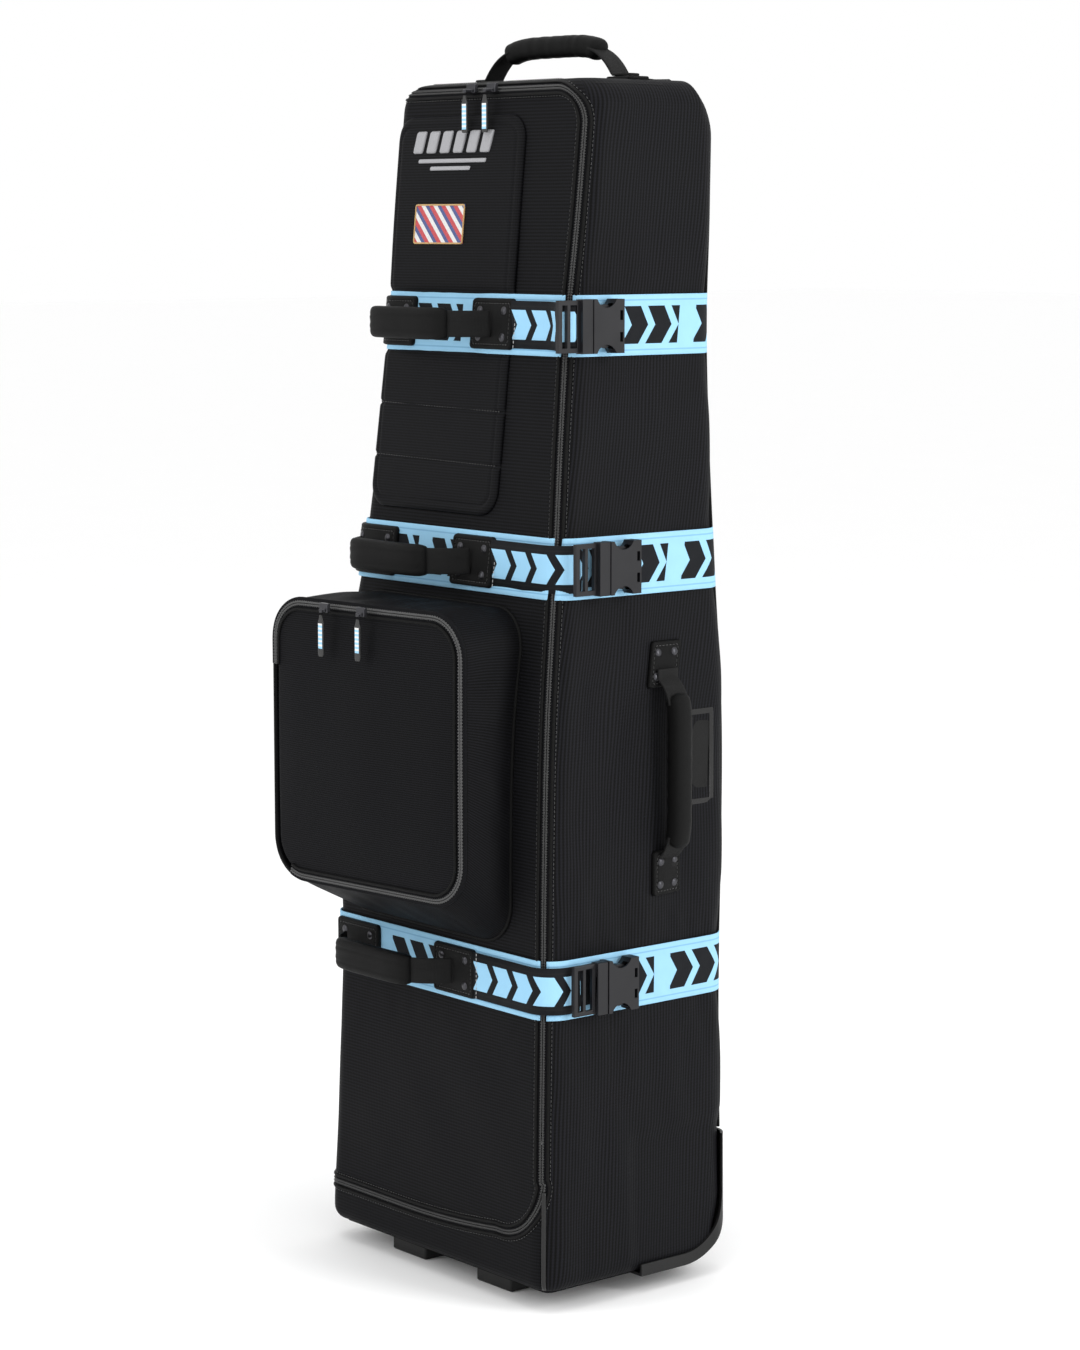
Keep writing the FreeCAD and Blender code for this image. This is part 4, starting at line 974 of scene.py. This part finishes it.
quilt = slab("quilted_patch_cloth", QUILT[0], QUILT[1], 28 * MM, 0.3 * MM, 4.2 * MM, 8 * MM, rows=230,
             cols=110,
             relief=quilting)
finish_piece(quilt, quilt_cloth, "door", ["quilted_patch"])
for word, height in (("upper", 946 * MM), ("lower", 889 * MM)):
    row = np.stack([np.linspace(-148, 58, 60) * MM, height - 0.015 * np.linspace(-148, 58, 60) * MM], -1)
    finish_piece(stitches("quilt_row_" + word, row, 3.6 * MM), dark_thread, "door")
patch_cloth = slab("chest_patch_cloth", (-108 * MM, -22 * MM), (1120 * MM, 1163 * MM), 2 * MM, 5.0 * MM, 1.5
                   * MM, 1.2 * MM)
finish_piece(patch_cloth, badge, "door", ["chest_patch"])
rim_line = box_path((-107 * MM, -23 * MM), (1121 * MM, 1162 * MM), 2 * MM)
finish_piece(trim("chest_patch_rim", evenly(rim_line, 2 * MM), round_section(0.9 * MM, 0, 6.5 * MM)),
             gold_thread,
             "door")


def slanted(p, z, off=0.0):
    """The wall with upright lines leaning to the right by a quarter of their height."""
    return wall(p + 0.25 * (z - 1220 * MM), z, off)


bars = []
for i in range(6):
    left = (-120 + i * 23) * MM
    bars.append(slab("bar", (left, left + 17 * MM), (1217 * MM, 1241 * MM), 2.5 * MM, 5.0 * MM, 1.7 * MM,
                     1.6 * MM,
                     put=slanted, rows=10, cols=10))
for i, (left, right) in enumerate(((-108, 10), (-84, -14))):
    height = (1209 - 8 * i) * MM
    bars.append(slab("bar", (left * MM, right * MM), (height - 2.4 * MM, height + 2.4 * MM), 2 * MM, 5.0 * MM,
                     1.6 * MM,
                     1.6 * MM, put=slanted, rows=8, cols=24))
emblem = merge("chest_emblem_bars", bars)
finish_piece(emblem, silver_thread, "door", ["chest_emblem"])

# ---- front pocket ----
FACE_NORMAL = np.array([0.107124, -0.994246, 0])
FACE_X, FACE_Z = (-172 * MM, 122 * MM), (431 * MM, 740 * MM)


def face(p, z, off=0.0):
    """The pocket's slanting face: deeper at its left than its right, with a shallow crown."""
    p, z, off = np.broadcast_arrays(np.asarray(p, float), np.asarray(z, float), np.asarray(off, float))
    s = np.clip((p - FACE_X[0]) / (FACE_X[1] - FACE_X[0]), 0, 1) * 2 - 1
    t = np.clip((z - FACE_Z[0]) / (FACE_Z[1] - FACE_Z[0]), 0, 1) * 2 - 1
    crown = 9 * MM * (1 - s**2)**0.8 * (1 - t**2)**0.8
    depth = 350 * MM - (p + 172 * MM) * 0.10774
    base = np.stack([MIDDLE + p, REAR - depth, z], -1)
    return base + FACE_NORMAL * (off + crown - 5 * MM)[..., None]


def loop_of(x, z, corner, per_side=40, per_corner=14):
    """A closed rounded rectangle with as many points on each side and corner, whatever its size."""
    spots = []
    quarter = np.linspace(0, math.pi / 2, per_corner)
    for sx, sz, start in ((1, -1, -math.pi / 2), (1, 1, 0), (-1, 1, math.pi / 2), (-1, -1, math.pi)):
        cx = x[1] - corner if sx > 0 else x[0] + corner
        cz = z[1] - corner if sz > 0 else z[0] + corner
        spots.append(np.stack([cx + corner * np.cos(start + quarter), cz + corner * np.sin(start + quarter)],
                              -1))
    full = []
    for i, arc in enumerate(spots):
        after = spots[(i + 1) % 4][0]
        t = np.linspace(0, 1, per_side)[1:-1, None]
        full.append(np.concatenate([arc, arc[-1] * (1 - t) + after * t]))
    return np.concatenate(full)


foot = loop_of((-165 * MM, 128 * MM), (387 * MM, 742 * MM), 46 * MM)
head = loop_of(FACE_X, FACE_Z, 46 * MM)
foot_points, head_points = wall(foot[:, 0], foot[:, 1], 0.4 * MM), face(head[:, 0], head[:, 1], -1 * MM)
t = spread(34, 0.5)[:, None, None]
gusset_points = foot_points[None] * (1 - t) + head_points[None] * t
centre = gusset_points.mean(axis=1, keepdims=True)
outward = gusset_points - centre
outward[..., 1] = 0
outward = outward / np.linalg.norm(outward, axis=-1, keepdims=True)
run = np.concatenate([[0], np.cumsum(np.linalg.norm(np.diff(head_points, axis=0), axis=1))])
sag = np.sin(math.pi * t[..., 0]) * (2.2 + 2.2
                                     * creases(run[None] + 0 * t[..., 0], t[..., 0] * 0.1, 1.5, 60 * MM,
                                               seed=21)) * MM
gusset_points = gusset_points + outward * np.minimum(sag, 4 * MM)[..., None]
gusset_uv = np.stack(np.broadcast_arrays(run[None], t[..., 0] * 0.1), -1)
gusset = thicken(grid("pocket_gusset_cloth", gusset_points, gusset_uv, wrap_cols=True), 2.4 * MM)
fix_outward(gusset)
finish_piece(gusset, gusset_cloth, "door", ["pocket_gusset"])
for word, loop, put, lift, body in (("foot", foot, wall, 1.0, "door"),
                                    ("head", head, face, -1.5, "pocket_door")):
    ring = trim("pocket_%s_piping" % word, loop, round_section(2.0 * MM, 0, lift * MM), put, closed=True)
    finish_piece(ring, binding_cloth, body)


def puffed(x, y, edge_distance):
    """Soft fullness of the pocket's face, with a few slow creases."""
    return (1.4 * np.clip(edge_distance / (70 * MM), 0, 1) + 0.9 * creases(x, y, 1.5, 120 * MM, seed=33)
            * np.clip(edge_distance / (30 * MM), 0, 1)) * MM


flap = slab("pocket_face_cloth", (FACE_X[0] + 7 * MM, FACE_X[1] - 7 * MM),
            (FACE_Z[0] + 7 * MM, FACE_Z[1] - 7 * MM),
            40 * MM, -3.5 * MM, 4.5 * MM, 7 * MM, put=face, rows=120, cols=120, relief=puffed)
finish_piece(flap, pocket_cloth, "pocket_door", ["pocket_flap"])
zip_loop = loop_of((FACE_X[0] + 4.5 * MM, FACE_X[1] - 4.5 * MM), (FACE_Z[0] + 4.5 * MM, FACE_Z[1] - 4.5 * MM),
                   42 * MM)
start = int(np.argmin(np.hypot(zip_loop[:, 0] + 150 * MM, zip_loop[:, 1] - FACE_Z[0])))
zip_path = np.roll(zip_loop, -start, axis=0)[:int(len(zip_loop) * 0.80)]
for half, sign in (("inner", 1), ("outer", -1)):
    teeth = chain("pocket_teeth_" + half, zip_path, 3.4 * MM, 0.15 * MM * sign, 3.0 * MM * sign, 0.6 * MM,
                  1.9 * MM, face)
    finish_piece(teeth, tooth_plastic, "pocket_door", ["pocket_zip"])
tape = trim("pocket_zip_tape", evenly(zip_path, 3 * MM), flat_section(13 * MM, -2.4 * MM, 0.7 * MM), face)
finish_piece(tape, tape_cloth, "pocket_door")
inner_rim = trim("pocket_zip_welt", evenly(zip_path, 3 * MM), round_section(1.7 * MM, 6.6 * MM, 1.6 * MM),
                 face)
finish_piece(inner_rim, binding_cloth, "pocket_door")

# ---- straps, tails, pads, rivets and grips on three levels ----
def level_path(z, first, last, pitch=3 * MM):
    """A level path round the case from one place to another."""
    p = np.arange(first, last, pitch)
    return np.stack([p, np.full_like(p, z)], -1)


def strap_section(path, width, low, thick, seed):
    """A flat section whose faces ride up and down a little along the strap."""
    base = flat_section(width, low, low + thick)
    wave = creases(path[:, 0], 0 * path[:, 0], 1, 80 * MM, count=5, seed=seed) * 0.4 * MM
    return base[None] + np.stack([0 * wave, np.abs(wave)], -1)[:, None]


front_bands, rear_bands, rivets_at = [], [], []
pads = {}
for number, (level, z) in enumerate(STRAPS.items()):
    front = level_path(z, float(fold_left(z)) + 2 * MM, float(seam_right(z)) - 2 * MM)
    front_bands.append(trim("band", front, strap_section(front, STRAP_WIDTH, 1.2 * MM, 1.5 * MM, number)))
    rear = level_path(z, float(seam_right(z)) + 4 * MM, float(2 * half_ring(z) + fold_left(z)) - 3 * MM)
    rear_bands.append(trim("band", rear, strap_section(rear, STRAP_WIDTH, 1.2 * MM, 1.5 * MM, 4 + number)))
    pads[level] = []
    for side, (first, last) in (("right", (2 * MM, 72 * MM)),
                                ("left", (max(-172 * MM, float(fold_left(z)) + 4 * MM), -96 * MM))):
        pad = slab("%s_pad_%s" % (level, side), (first, last), (z - 27 * MM, z + 27 * MM), 5 * MM, 3.2 * MM,
                   4.2 * MM,
                   2.6 * MM, rows=44, cols=56, relief=lambda x, y, e: -0.9 * MM * near(e, 5.5 * MM, 1.0 * MM))
        finish_piece(pad, pad_cloth, "door", ["%s_handle_pads" % level])
        line = evenly(box_path((first + 5.5 * MM, last - 5.5 * MM), (z - 21.5 * MM, z + 21.5 * MM), 2 * MM),
                      1 * MM)
        finish_piece(stitches("%s_pad_thread_%s" % (level, side), line, 7.0 * MM), dark_thread, "door")
        if side == "right":
            pale = np.stack([np.full(40, last + 4 * MM), z + np.linspace(-23, 23, 40) * MM], -1)
            finish_piece(stitches(level + "_tail_thread", pale, 6.5 * MM), pale_thread, "door")
        for sx in (first + 15 * MM, last - 15 * MM):
            for sz in (-14 * MM, 14 * MM):
                rivets_at.append((sx, z + sz))
finish_piece(merge("front_strap_bands", front_bands), sky_webbing, "door", ["front_straps"])
finish_piece(merge("rear_strap_bands", rear_bands), sky_webbing, "shell", ["rear_straps"])
spots = np.array(rivets_at)
here, _, _, out = ends_of(spots, wall, 7.0 * MM)
finish_piece(domes("pad_rivets", here, out, 4.6 * MM, 1.9 * MM), gunmetal, "door",
             ["wrap_handle_rivets"])

tail_things = []
for level, z in STRAPS.items():
    plug_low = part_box("%s_buckle_plug" % level)[0]
    corner_p = float(half_at(z)) - FRONT_ROUND
    bar = np.array([plug_low.x + 3.5 * MM, plug_low.y + 5 * MM, z])
    along = np.linspace(70 * MM, corner_p - 18 * MM, 40)
    flat_run = wall(along, z, 5.6 * MM)
    if plug_low.y < wall(corner_p, z)[1]:
        far = np.array([bar[0] - 6 * MM, bar[1] + 1 * MM, z])
        reach = [flat_run, ]
        t = np.linspace(0, 1, 24)[1:, None]
        a, b = flat_run[-1], flat_run[-1] + np.array([26 * MM, 2 * MM, 0])
        c, d = far - np.array([22 * MM, -10 * MM, 0]), far
        reach.append(a * (1 - t)**3 + 3 * b * t * (1 - t)**2 + 3 * c * t**2 * (1 - t) + d * t**3)
        back_t = np.linspace(0, 1, 10)[1:, None]
        reach.append(d * (1 - back_t) + np.array([bar[0], bar[1] + 20 * MM, z]) * back_t)
        centre_line = np.concatenate(reach)
    else:
        last = float(side_at(z, REAR - (plug_low.y + 16 * MM)))
        more = np.linspace(corner_p - 17 * MM, last, 40)
        centre_line = np.concatenate([flat_run, wall(more, z, 5.6 * MM)])
    tail = sweep("tail", centre_line, (0, 0, 1.0),
                 flat_section(1.6 * MM, -TAIL_WIDTH / 2, TAIL_WIDTH / 2, 0.4 * MM, 3))
    tail_things.append(tail)
    lengths = np.concatenate([[0], np.cumsum(np.linalg.norm(np.diff(centre_line, axis=0), axis=1))])
    uv = np.empty(len(tail.data.loops) * 2, dtype=np.float32)
    index = np.empty(len(tail.data.loops), dtype=np.int32)
    tail.data.loops.foreach_get("vertex_index", index)
    heights = np.empty(len(tail.data.vertices) * 3, dtype=np.float32)
    tail.data.vertices.foreach_get("co", heights)
    cols = len(tail.data.vertices) // len(centre_line)
    uv[0::2] = np.repeat(lengths, cols)[index]
    uv[1::2] = (heights[2::3] - z)[index]
    tail.data.uv_layers["UVMap"].data.foreach_set("uv", uv)
finish_piece(merge("tail_bands", tail_things), tail_webbing, "door", ["tail_straps"])


def grip_path(level, first, last, count=60):
    """The line of a wrap grip, from pad to pad: flat at the pads, bowed out to the CAD grip's middle."""
    low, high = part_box("%s_wrap_grip" % level)
    z = STRAPS[level]
    x = np.linspace(first, last, count)
    middle, reach = (low.x + high.x) / 2 - 9 * MM, (high.x - low.x) / 2 + 33 * MM
    s = np.clip(np.abs(x - middle) / reach, 0, 1)
    rise = (1 - s**4.5)
    ground = REAR - depth_at(z) - 9.5 * MM
    crest = low.y + 11.5 * MM
    return np.stack([x, ground + (crest - ground) * rise, np.full_like(x, z)], -1)


for level, z in STRAPS.items():
    low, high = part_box("%s_wrap_grip" % level)
    inner = grip_path(level, low.x - 12 * MM, high.x - 6 * MM, 90)
    s = np.linspace(-1, 1, 90)
    plump = np.clip((1 - np.abs(s)) / 0.2, 0, 1)
    plump = np.sqrt(1 - (1 - plump)**2)
    shape = oval(1.0, 1.0, 48, 3.6)
    tall = 13 * MM + 4.0 * MM * plump
    thick = 3.0 * MM + 5.4 * MM * plump
    groove = 1 - 0.11 * sum(near(shape[None, :, 1] * tall[:, None], place * MM, 1.3 * MM) for place in (
        -8, 0, 8)) * (plump[:, None])
    section = np.stack([shape[None, :, 0] * thick[:, None] * groove, shape[None, :, 1] * tall[:, None]], -1)
    grip = sweep("%s_grip_pad" % level, inner, (0, 0, 1.0), section)
    finish_piece(grip, pad_cloth, "%s_wrap" % level, ["%s_wrap_grip" % level])
    for side, span in (("left", (low.x - 40 * MM, low.x - 4 * MM)),
                       ("right", (high.x - 12 * MM, high.x + 24 * MM))):
        line = grip_path(level, span[0], span[1], 24)
        stub = sweep("%s_grip_end_%s" % (level, side), line, (0, 0, 1.0), oval(1.7 * MM, 14 * MM, 24, 5.0))
        finish_piece(stub, plain_webbing, None)
        a, b = (span[0] + 4 * MM, span[1] - 4 * MM) if side == "left" else (
            span[1] - 4 * MM, span[0] + 4 * MM)
        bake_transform(stub)

# ---- buckles ----
for level in STRAPS:
    for node, word, width in (("buckle_socket", "socket", 1.2), ("buckle_plug", "plug", 0.9),
                              ("release_low", "arm_low", 0.7), ("release_high", "arm_high", 0.7)):
        body = "shell" if word == "socket" else "%s_%s" % (level, word)
        moulding = softened("%s_%s" % (level, node), "%s_%s_moulding" % (level, node), width * MM, 3)
        finish_piece(moulding, buckle_plastic, body, ["%s_%s" % (level, node)])

# ---- zip sliders and pull tabs ----
for row in ("main", "pocket"):
    for side in ("left", "right"):
        slider = softened("%s_slider_%s" % (row, side), "%s_slider_%s_moulding" % (row, side), 0.9 * MM, 3)
        finish_piece(slider, gunmetal, "%s_slider_%s_body" % (row, side),
                     ["%s_slider_%s" % (row, side)])
        low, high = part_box("%s_pull_tab_%s" % (row, side))
        x, y = (low.x + high.x) / 2, (low.y + high.y) / 2
        heights = np.linspace(high.z - 0.5 * MM, low.z, 40)
        line = np.stack([np.full_like(heights, x), np.full_like(heights, y), heights], -1)
        share = np.clip((high.z - heights) / (9 * MM), 0, 1)
        wide = (1.6 + 3.2 * share**1.5) * MM
        wide[-3:] *= [0.97, 0.9, 0.7]
        flat = oval(1.0, 1.2 * MM, 28, 4.5)
        section = np.stack([flat[None, :, 0] * wide[:, None], flat[None, :, 1] + 0 * wide[:, None]], -1)
        tab = sweep("%s_pull_%s" % (row, side), line, (0, -1.0, 0), section)
        finish_piece(tab, tab_finish, "%s_tab_%s_body" % (row, side),
                     ["%s_pull_tab_%s" % (row, side)])

# ---- side handle ----
pad_low, pad_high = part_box("side_handle_pads")
grip_low, grip_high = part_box("side_handle_grip")
HANDLE_Y = (grip_low.y + grip_high.y) / 2
from_rear = REAR - HANDLE_Y
side_rivets = []
for word, (z0, z1) in (("upper", (656 * MM, pad_high.z)), ("lower", (pad_low.z, 482 * MM))):
    middle = float(side_at((z0 + z1) / 2, from_rear))
    pad = slab("side_pad_" + word, (middle - 21 * MM, middle + 21 * MM), (z0, z1), 4 * MM, 0.2 * MM, 4.6 * MM,
               2.4 * MM,
               put=dressed, relief=lambda x, y, e: -0.8 * MM * near(e, 5 * MM, 1.0 * MM))
    finish_piece(pad, pad_cloth, "shell", ["side_handle_pads"])
    line = evenly(box_path((middle - 16 * MM, middle + 16 * MM), (z0 + 5 * MM, z1 - 5 * MM), 2 * MM), 1 * MM)
    finish_piece(stitches("side_pad_thread_" + word, line, 4.3 * MM, dressed), dark_thread, "shell")
    for sp in (-11 * MM, 11 * MM):
        for sz in (z0 + 12 * MM, z1 - 12 * MM):
            side_rivets.append((middle + sp, sz))
here, _, _, out = ends_of(np.array(side_rivets), dressed, 4.4 * MM)
finish_piece(domes("side_rivet_heads", here, out, 4.4 * MM, 1.8 * MM), gunmetal, "shell",
             ["side_handle_rivets"])


def side_line(z):
    """The side handle's line: flat on its pads, then bowed out along its length."""
    s = np.clip(np.abs(z - 569 * MM) / (96 * MM), 0, 1)
    x = float(wall(side_at(0.569, from_rear), 0.569)[0]) + 6 * MM
    crest = grip_high.x - 20 * MM
    return np.stack([x + (crest - x) * (1 - s**7), np.full_like(z, HANDLE_Y), z], -1)


heights = np.linspace(grip_low.z + 6 * MM, grip_high.z - 6 * MM, 100)
s = np.linspace(-1, 1, 100)
plump = np.sqrt(1 - (1 - np.clip((1 - np.abs(s)) / 0.1, 0, 1))**2)
wrinkle = 1 + 0.035 * creases(heights, 0 * heights, 1, 16 * MM, seed=41)
shape = oval(1.0, 1.0, 36, 2.5)
section = shape[None] * ((5 * MM + 7.2 * MM * plump) * wrinkle)[:, None, None]
sleeve = sweep("side_handle_sleeve", side_line(heights), (0, 1.0, 0), section)
finish_piece(sleeve, pad_cloth, "side_handle", ["side_handle_grip"])
for word, z0, z1 in (("upper", grip_high.z - 16 * MM, 676 * MM), ("lower", grip_low.z + 16 * MM, 462 * MM)):
    line = side_line(np.linspace(z0, z1, 30))
    end = sweep("side_handle_end_" + word, line, (0, 1.0, 0), oval(1.6 * MM, 14 * MM, 24, 5.0))
    finish_piece(end, plain_webbing, None)
    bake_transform(end)

# ---- top handle ----
top_low, top_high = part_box("top_handle_grip")
anchor_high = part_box("top_handle_anchors")[1]
TOP_Y = (top_low.y + top_high.y) / 2


def top_line(x):
    """The top handle's line: flat on its anchors, then bowed up along its length."""
    s = np.clip(np.abs(x - MIDDLE) / (106 * MM), 0, 1)
    base = anchor_high.z + 1.5 * MM
    crest = top_high.z - 12.5 * MM
    return np.stack([x, np.full_like(x, TOP_Y), base + (crest - base) * (1 - s**4.5)], -1)


along = np.linspace(MIDDLE - 76 * MM, MIDDLE + 76 * MM, 110)
s = np.linspace(-1, 1, 110)
plump = np.sqrt(1 - (1 - np.clip((1 - np.abs(s)) / 0.09, 0, 1))**2)
wrinkle = 1 + 0.03 * creases(along, 0 * along, 1, 18 * MM, seed=43)
section = shape[None] * ((5 * MM + 6.8 * MM * plump) * wrinkle)[:, None, None]
sleeve = sweep("top_handle_sleeve", top_line(along), (0, 1.0, 0), section)
finish_piece(sleeve, pad_cloth, "top_handle", ["top_handle_grip"])
for word, x0, x1 in (("right", MIDDLE + 66 * MM, MIDDLE + 122 * MM),
                     ("left", MIDDLE - 66 * MM, MIDDLE - 122 * MM)):
    line = top_line(np.linspace(x0, x1, 34))
    end = sweep("top_handle_end_" + word, line, (0, 1.0, 0), oval(1.7 * MM, 12.5 * MM, 24, 5.0))
    finish_piece(end, plain_webbing, None)
    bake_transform(end)


def lid(p, z, off=0.0):
    """The flat top, seen from above: p runs to the right and z, less the case's height, to the rear."""
    p, z, off = np.broadcast_arrays(np.asarray(p, float), np.asarray(z, float), np.asarray(off, float))
    return np.stack([MIDDLE + p, z, TOP + off], -1)


for word, sign in (("right", 1), ("left", -1)):
    span = sorted((sign * 97 * MM, sign * 138 * MM))
    anchor = slab("top_anchor_" + word, span, (TOP_Y - 15 * MM, TOP_Y + 15 * MM), 5 * MM, 0.2 * MM, 3.4 * MM,
                  2 * MM,
                  put=lid, rows=24, cols=30)
    fix_outward(anchor)
    finish_piece(anchor, pad_cloth, "shell", ["top_handle_anchors"])

# ---- name-tag holder ----
tag_rim = softened("tag_frame", "tag_frame_moulding", 0.8 * MM, 3)
finish_piece(tag_rim, moulded("tag_gloss", tint(0.012), 0.22), "shell", ["tag_frame"])
repaint("tag_window", pane_finish)
tag_low, tag_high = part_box("tag_window")
tag_middle = float(side_at(0.576, REAR - (tag_low.y + tag_high.y) / 2))
card = slab("tag_card", (tag_middle - 14 * MM, tag_middle + 14 * MM), (533 * MM, 620 * MM), 1.5 * MM, 0.1
            * MM, 0.9 * MM,
            0.8 * MM, rows=12, cols=12)
finish_piece(card, coated("card_stock", 0.012), "shell")

# ---- foot: kick plate, feet, housings, wheels ----
for node in ("kick_plate", "left_wheel_housing", "right_wheel_housing"):
    repaint(node, kick_plastic)
repaint("wheel_axles", axle_steel)
feet = softened("front_feet", "front_feet_moulding", 2.5 * MM, 3)
finish_piece(feet, kick_plastic, "shell", ["front_feet"])
for side in ("left", "right"):
    low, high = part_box(side + "_wheel")
    centre = np.array([(low.x + high.x) / 2, (low.y + high.y) / 2, (low.z + high.z) / 2])
    half, radius = (high.x - low.x) / 2, (high.z - low.z) / 2
    t = np.linspace(-1, 1, 41)
    crown = np.sqrt(np.clip(1 - (np.clip(np.abs(t) - 0.55, 0, 1) / 0.45)**2, 0, 1))
    rim = radius - 7 * MM * (1 - crown) - 1.0 * MM * (np.abs(np.abs(t) - 0.3) < 0.06)
    tread = np.stack([t * half, rim], -1)
    bore = np.array([[half, radius - 11 * MM], [half * 0.7, radius - 13 * MM],
                     [-half * 0.7, radius - 13 * MM],
                     [-half, radius - 11 * MM]])
    tyre = turned(side + "_tyre", np.concatenate([tread, bore]), centre, (1.0, 0, 0), 72)
    finish_piece(tyre, wheel_rubber, side + "_wheel_body", [side + "_wheel"])
    inner = np.array([[0.80, 25], [0.84, 23.5], [0.5, 22], [0.42, 12], [0.86, 9.5], [0.9, 5.2], [-0.9, 5.2],
                      [-0.86, 9.5],
                      [-0.42, 12], [-0.5, 22], [-0.84, 23.5], [-0.80, 25]])
    hub = turned(side + "_hub", inner * [half, MM], centre, (1.0, 0, 0), 48)
    finish_piece(hub, hub_plastic, side + "_wheel_body")

# ---- inside ----
repaint("base_board", kick_plastic)
lining_low, lining_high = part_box("top_lining")


def ceiling(p, z, off=0.0):
    """The underside of the top, seen from below."""
    p, z, off = np.broadcast_arrays(np.asarray(p, float), np.asarray(z, float), np.asarray(off, float))
    return np.stack([-p, z, lining_high.z - off], -1)


lining = slab("top_lining_pad", (-lining_high.x, -lining_low.x), (lining_low.y, lining_high.y), 14 * MM, 0.0,
              22 * MM,
              12 * MM, put=ceiling)
fix_outward(lining)
finish_piece(lining, lining_cloth, "shell", ["top_lining"])

# ---- floor, light and camera ----
floor_finish = Finish("floor_paper", Roughness=0.9, Base_Color=tint(0.93), Specular_IOR_Level=0.1)
paper = floor_finish.noise(floor_finish.where("Object"), 3.0)
floor_finish.shade(Base_Color=floor_finish.colours(paper, tint(0.985), tint(0.995)))
floor = new_object("floor", np.array([[-40, -40, 0], [40, -40, 0], [40, 40, 0], [-40, 40, 0.0]]),
                   [[0, 1, 2, 3]])
floor.data.materials.append(floor_finish.material)

world = bpy.data.worlds.new("studio")
world.use_nodes = True
world.node_tree.nodes["Background"].inputs[0].default_value = (1, 1, 1, 1)
world.node_tree.nodes["Background"].inputs[1].default_value = 1.0
bpy.context.scene.world = world


def soft_box(name, place, target, size, power):
    """A rectangular studio light that faces a point."""
    lamp = bpy.data.lights.new(name, "AREA")
    lamp.shape = "RECTANGLE"
    lamp.size, lamp.size_y = size
    lamp.energy = power
    thing = bpy.data.objects.new(name, lamp)
    thing.location = place
    thing.rotation_euler = (Vector(target) - Vector(place)).to_track_quat("-Z", "Y").to_euler()
    bpy.context.scene.collection.objects.link(thing)


soft_box("side_light", (2.6, 0.9, 1.5), (0.1, 0, 0.7), (0.9, 2.4), 48)
soft_box("front_light", (-0.9, -3.0, 1.8), (0, 0, 0.7), (1.2, 2.2), 24)
soft_box("top_light", (0.3, -0.4, 3.0), (0, 0, 0.8), (1.8, 1.8), 16)

camera = bpy.data.cameras.new("camera")
camera.lens = 90.67
camera.sensor_width = 36
eye = bpy.data.objects.new("camera", camera)
eye.location = (2.8273, -2.3073, 1.1427)
eye.rotation_euler = (Vector((-0.0700, 0.1084, 0.6412)) - eye.location).to_track_quat("-Z", "Y").to_euler()
bpy.context.scene.collection.objects.link(eye)
bpy.context.scene.camera = eye
bpy.context.scene.view_settings.view_transform = "Standard"
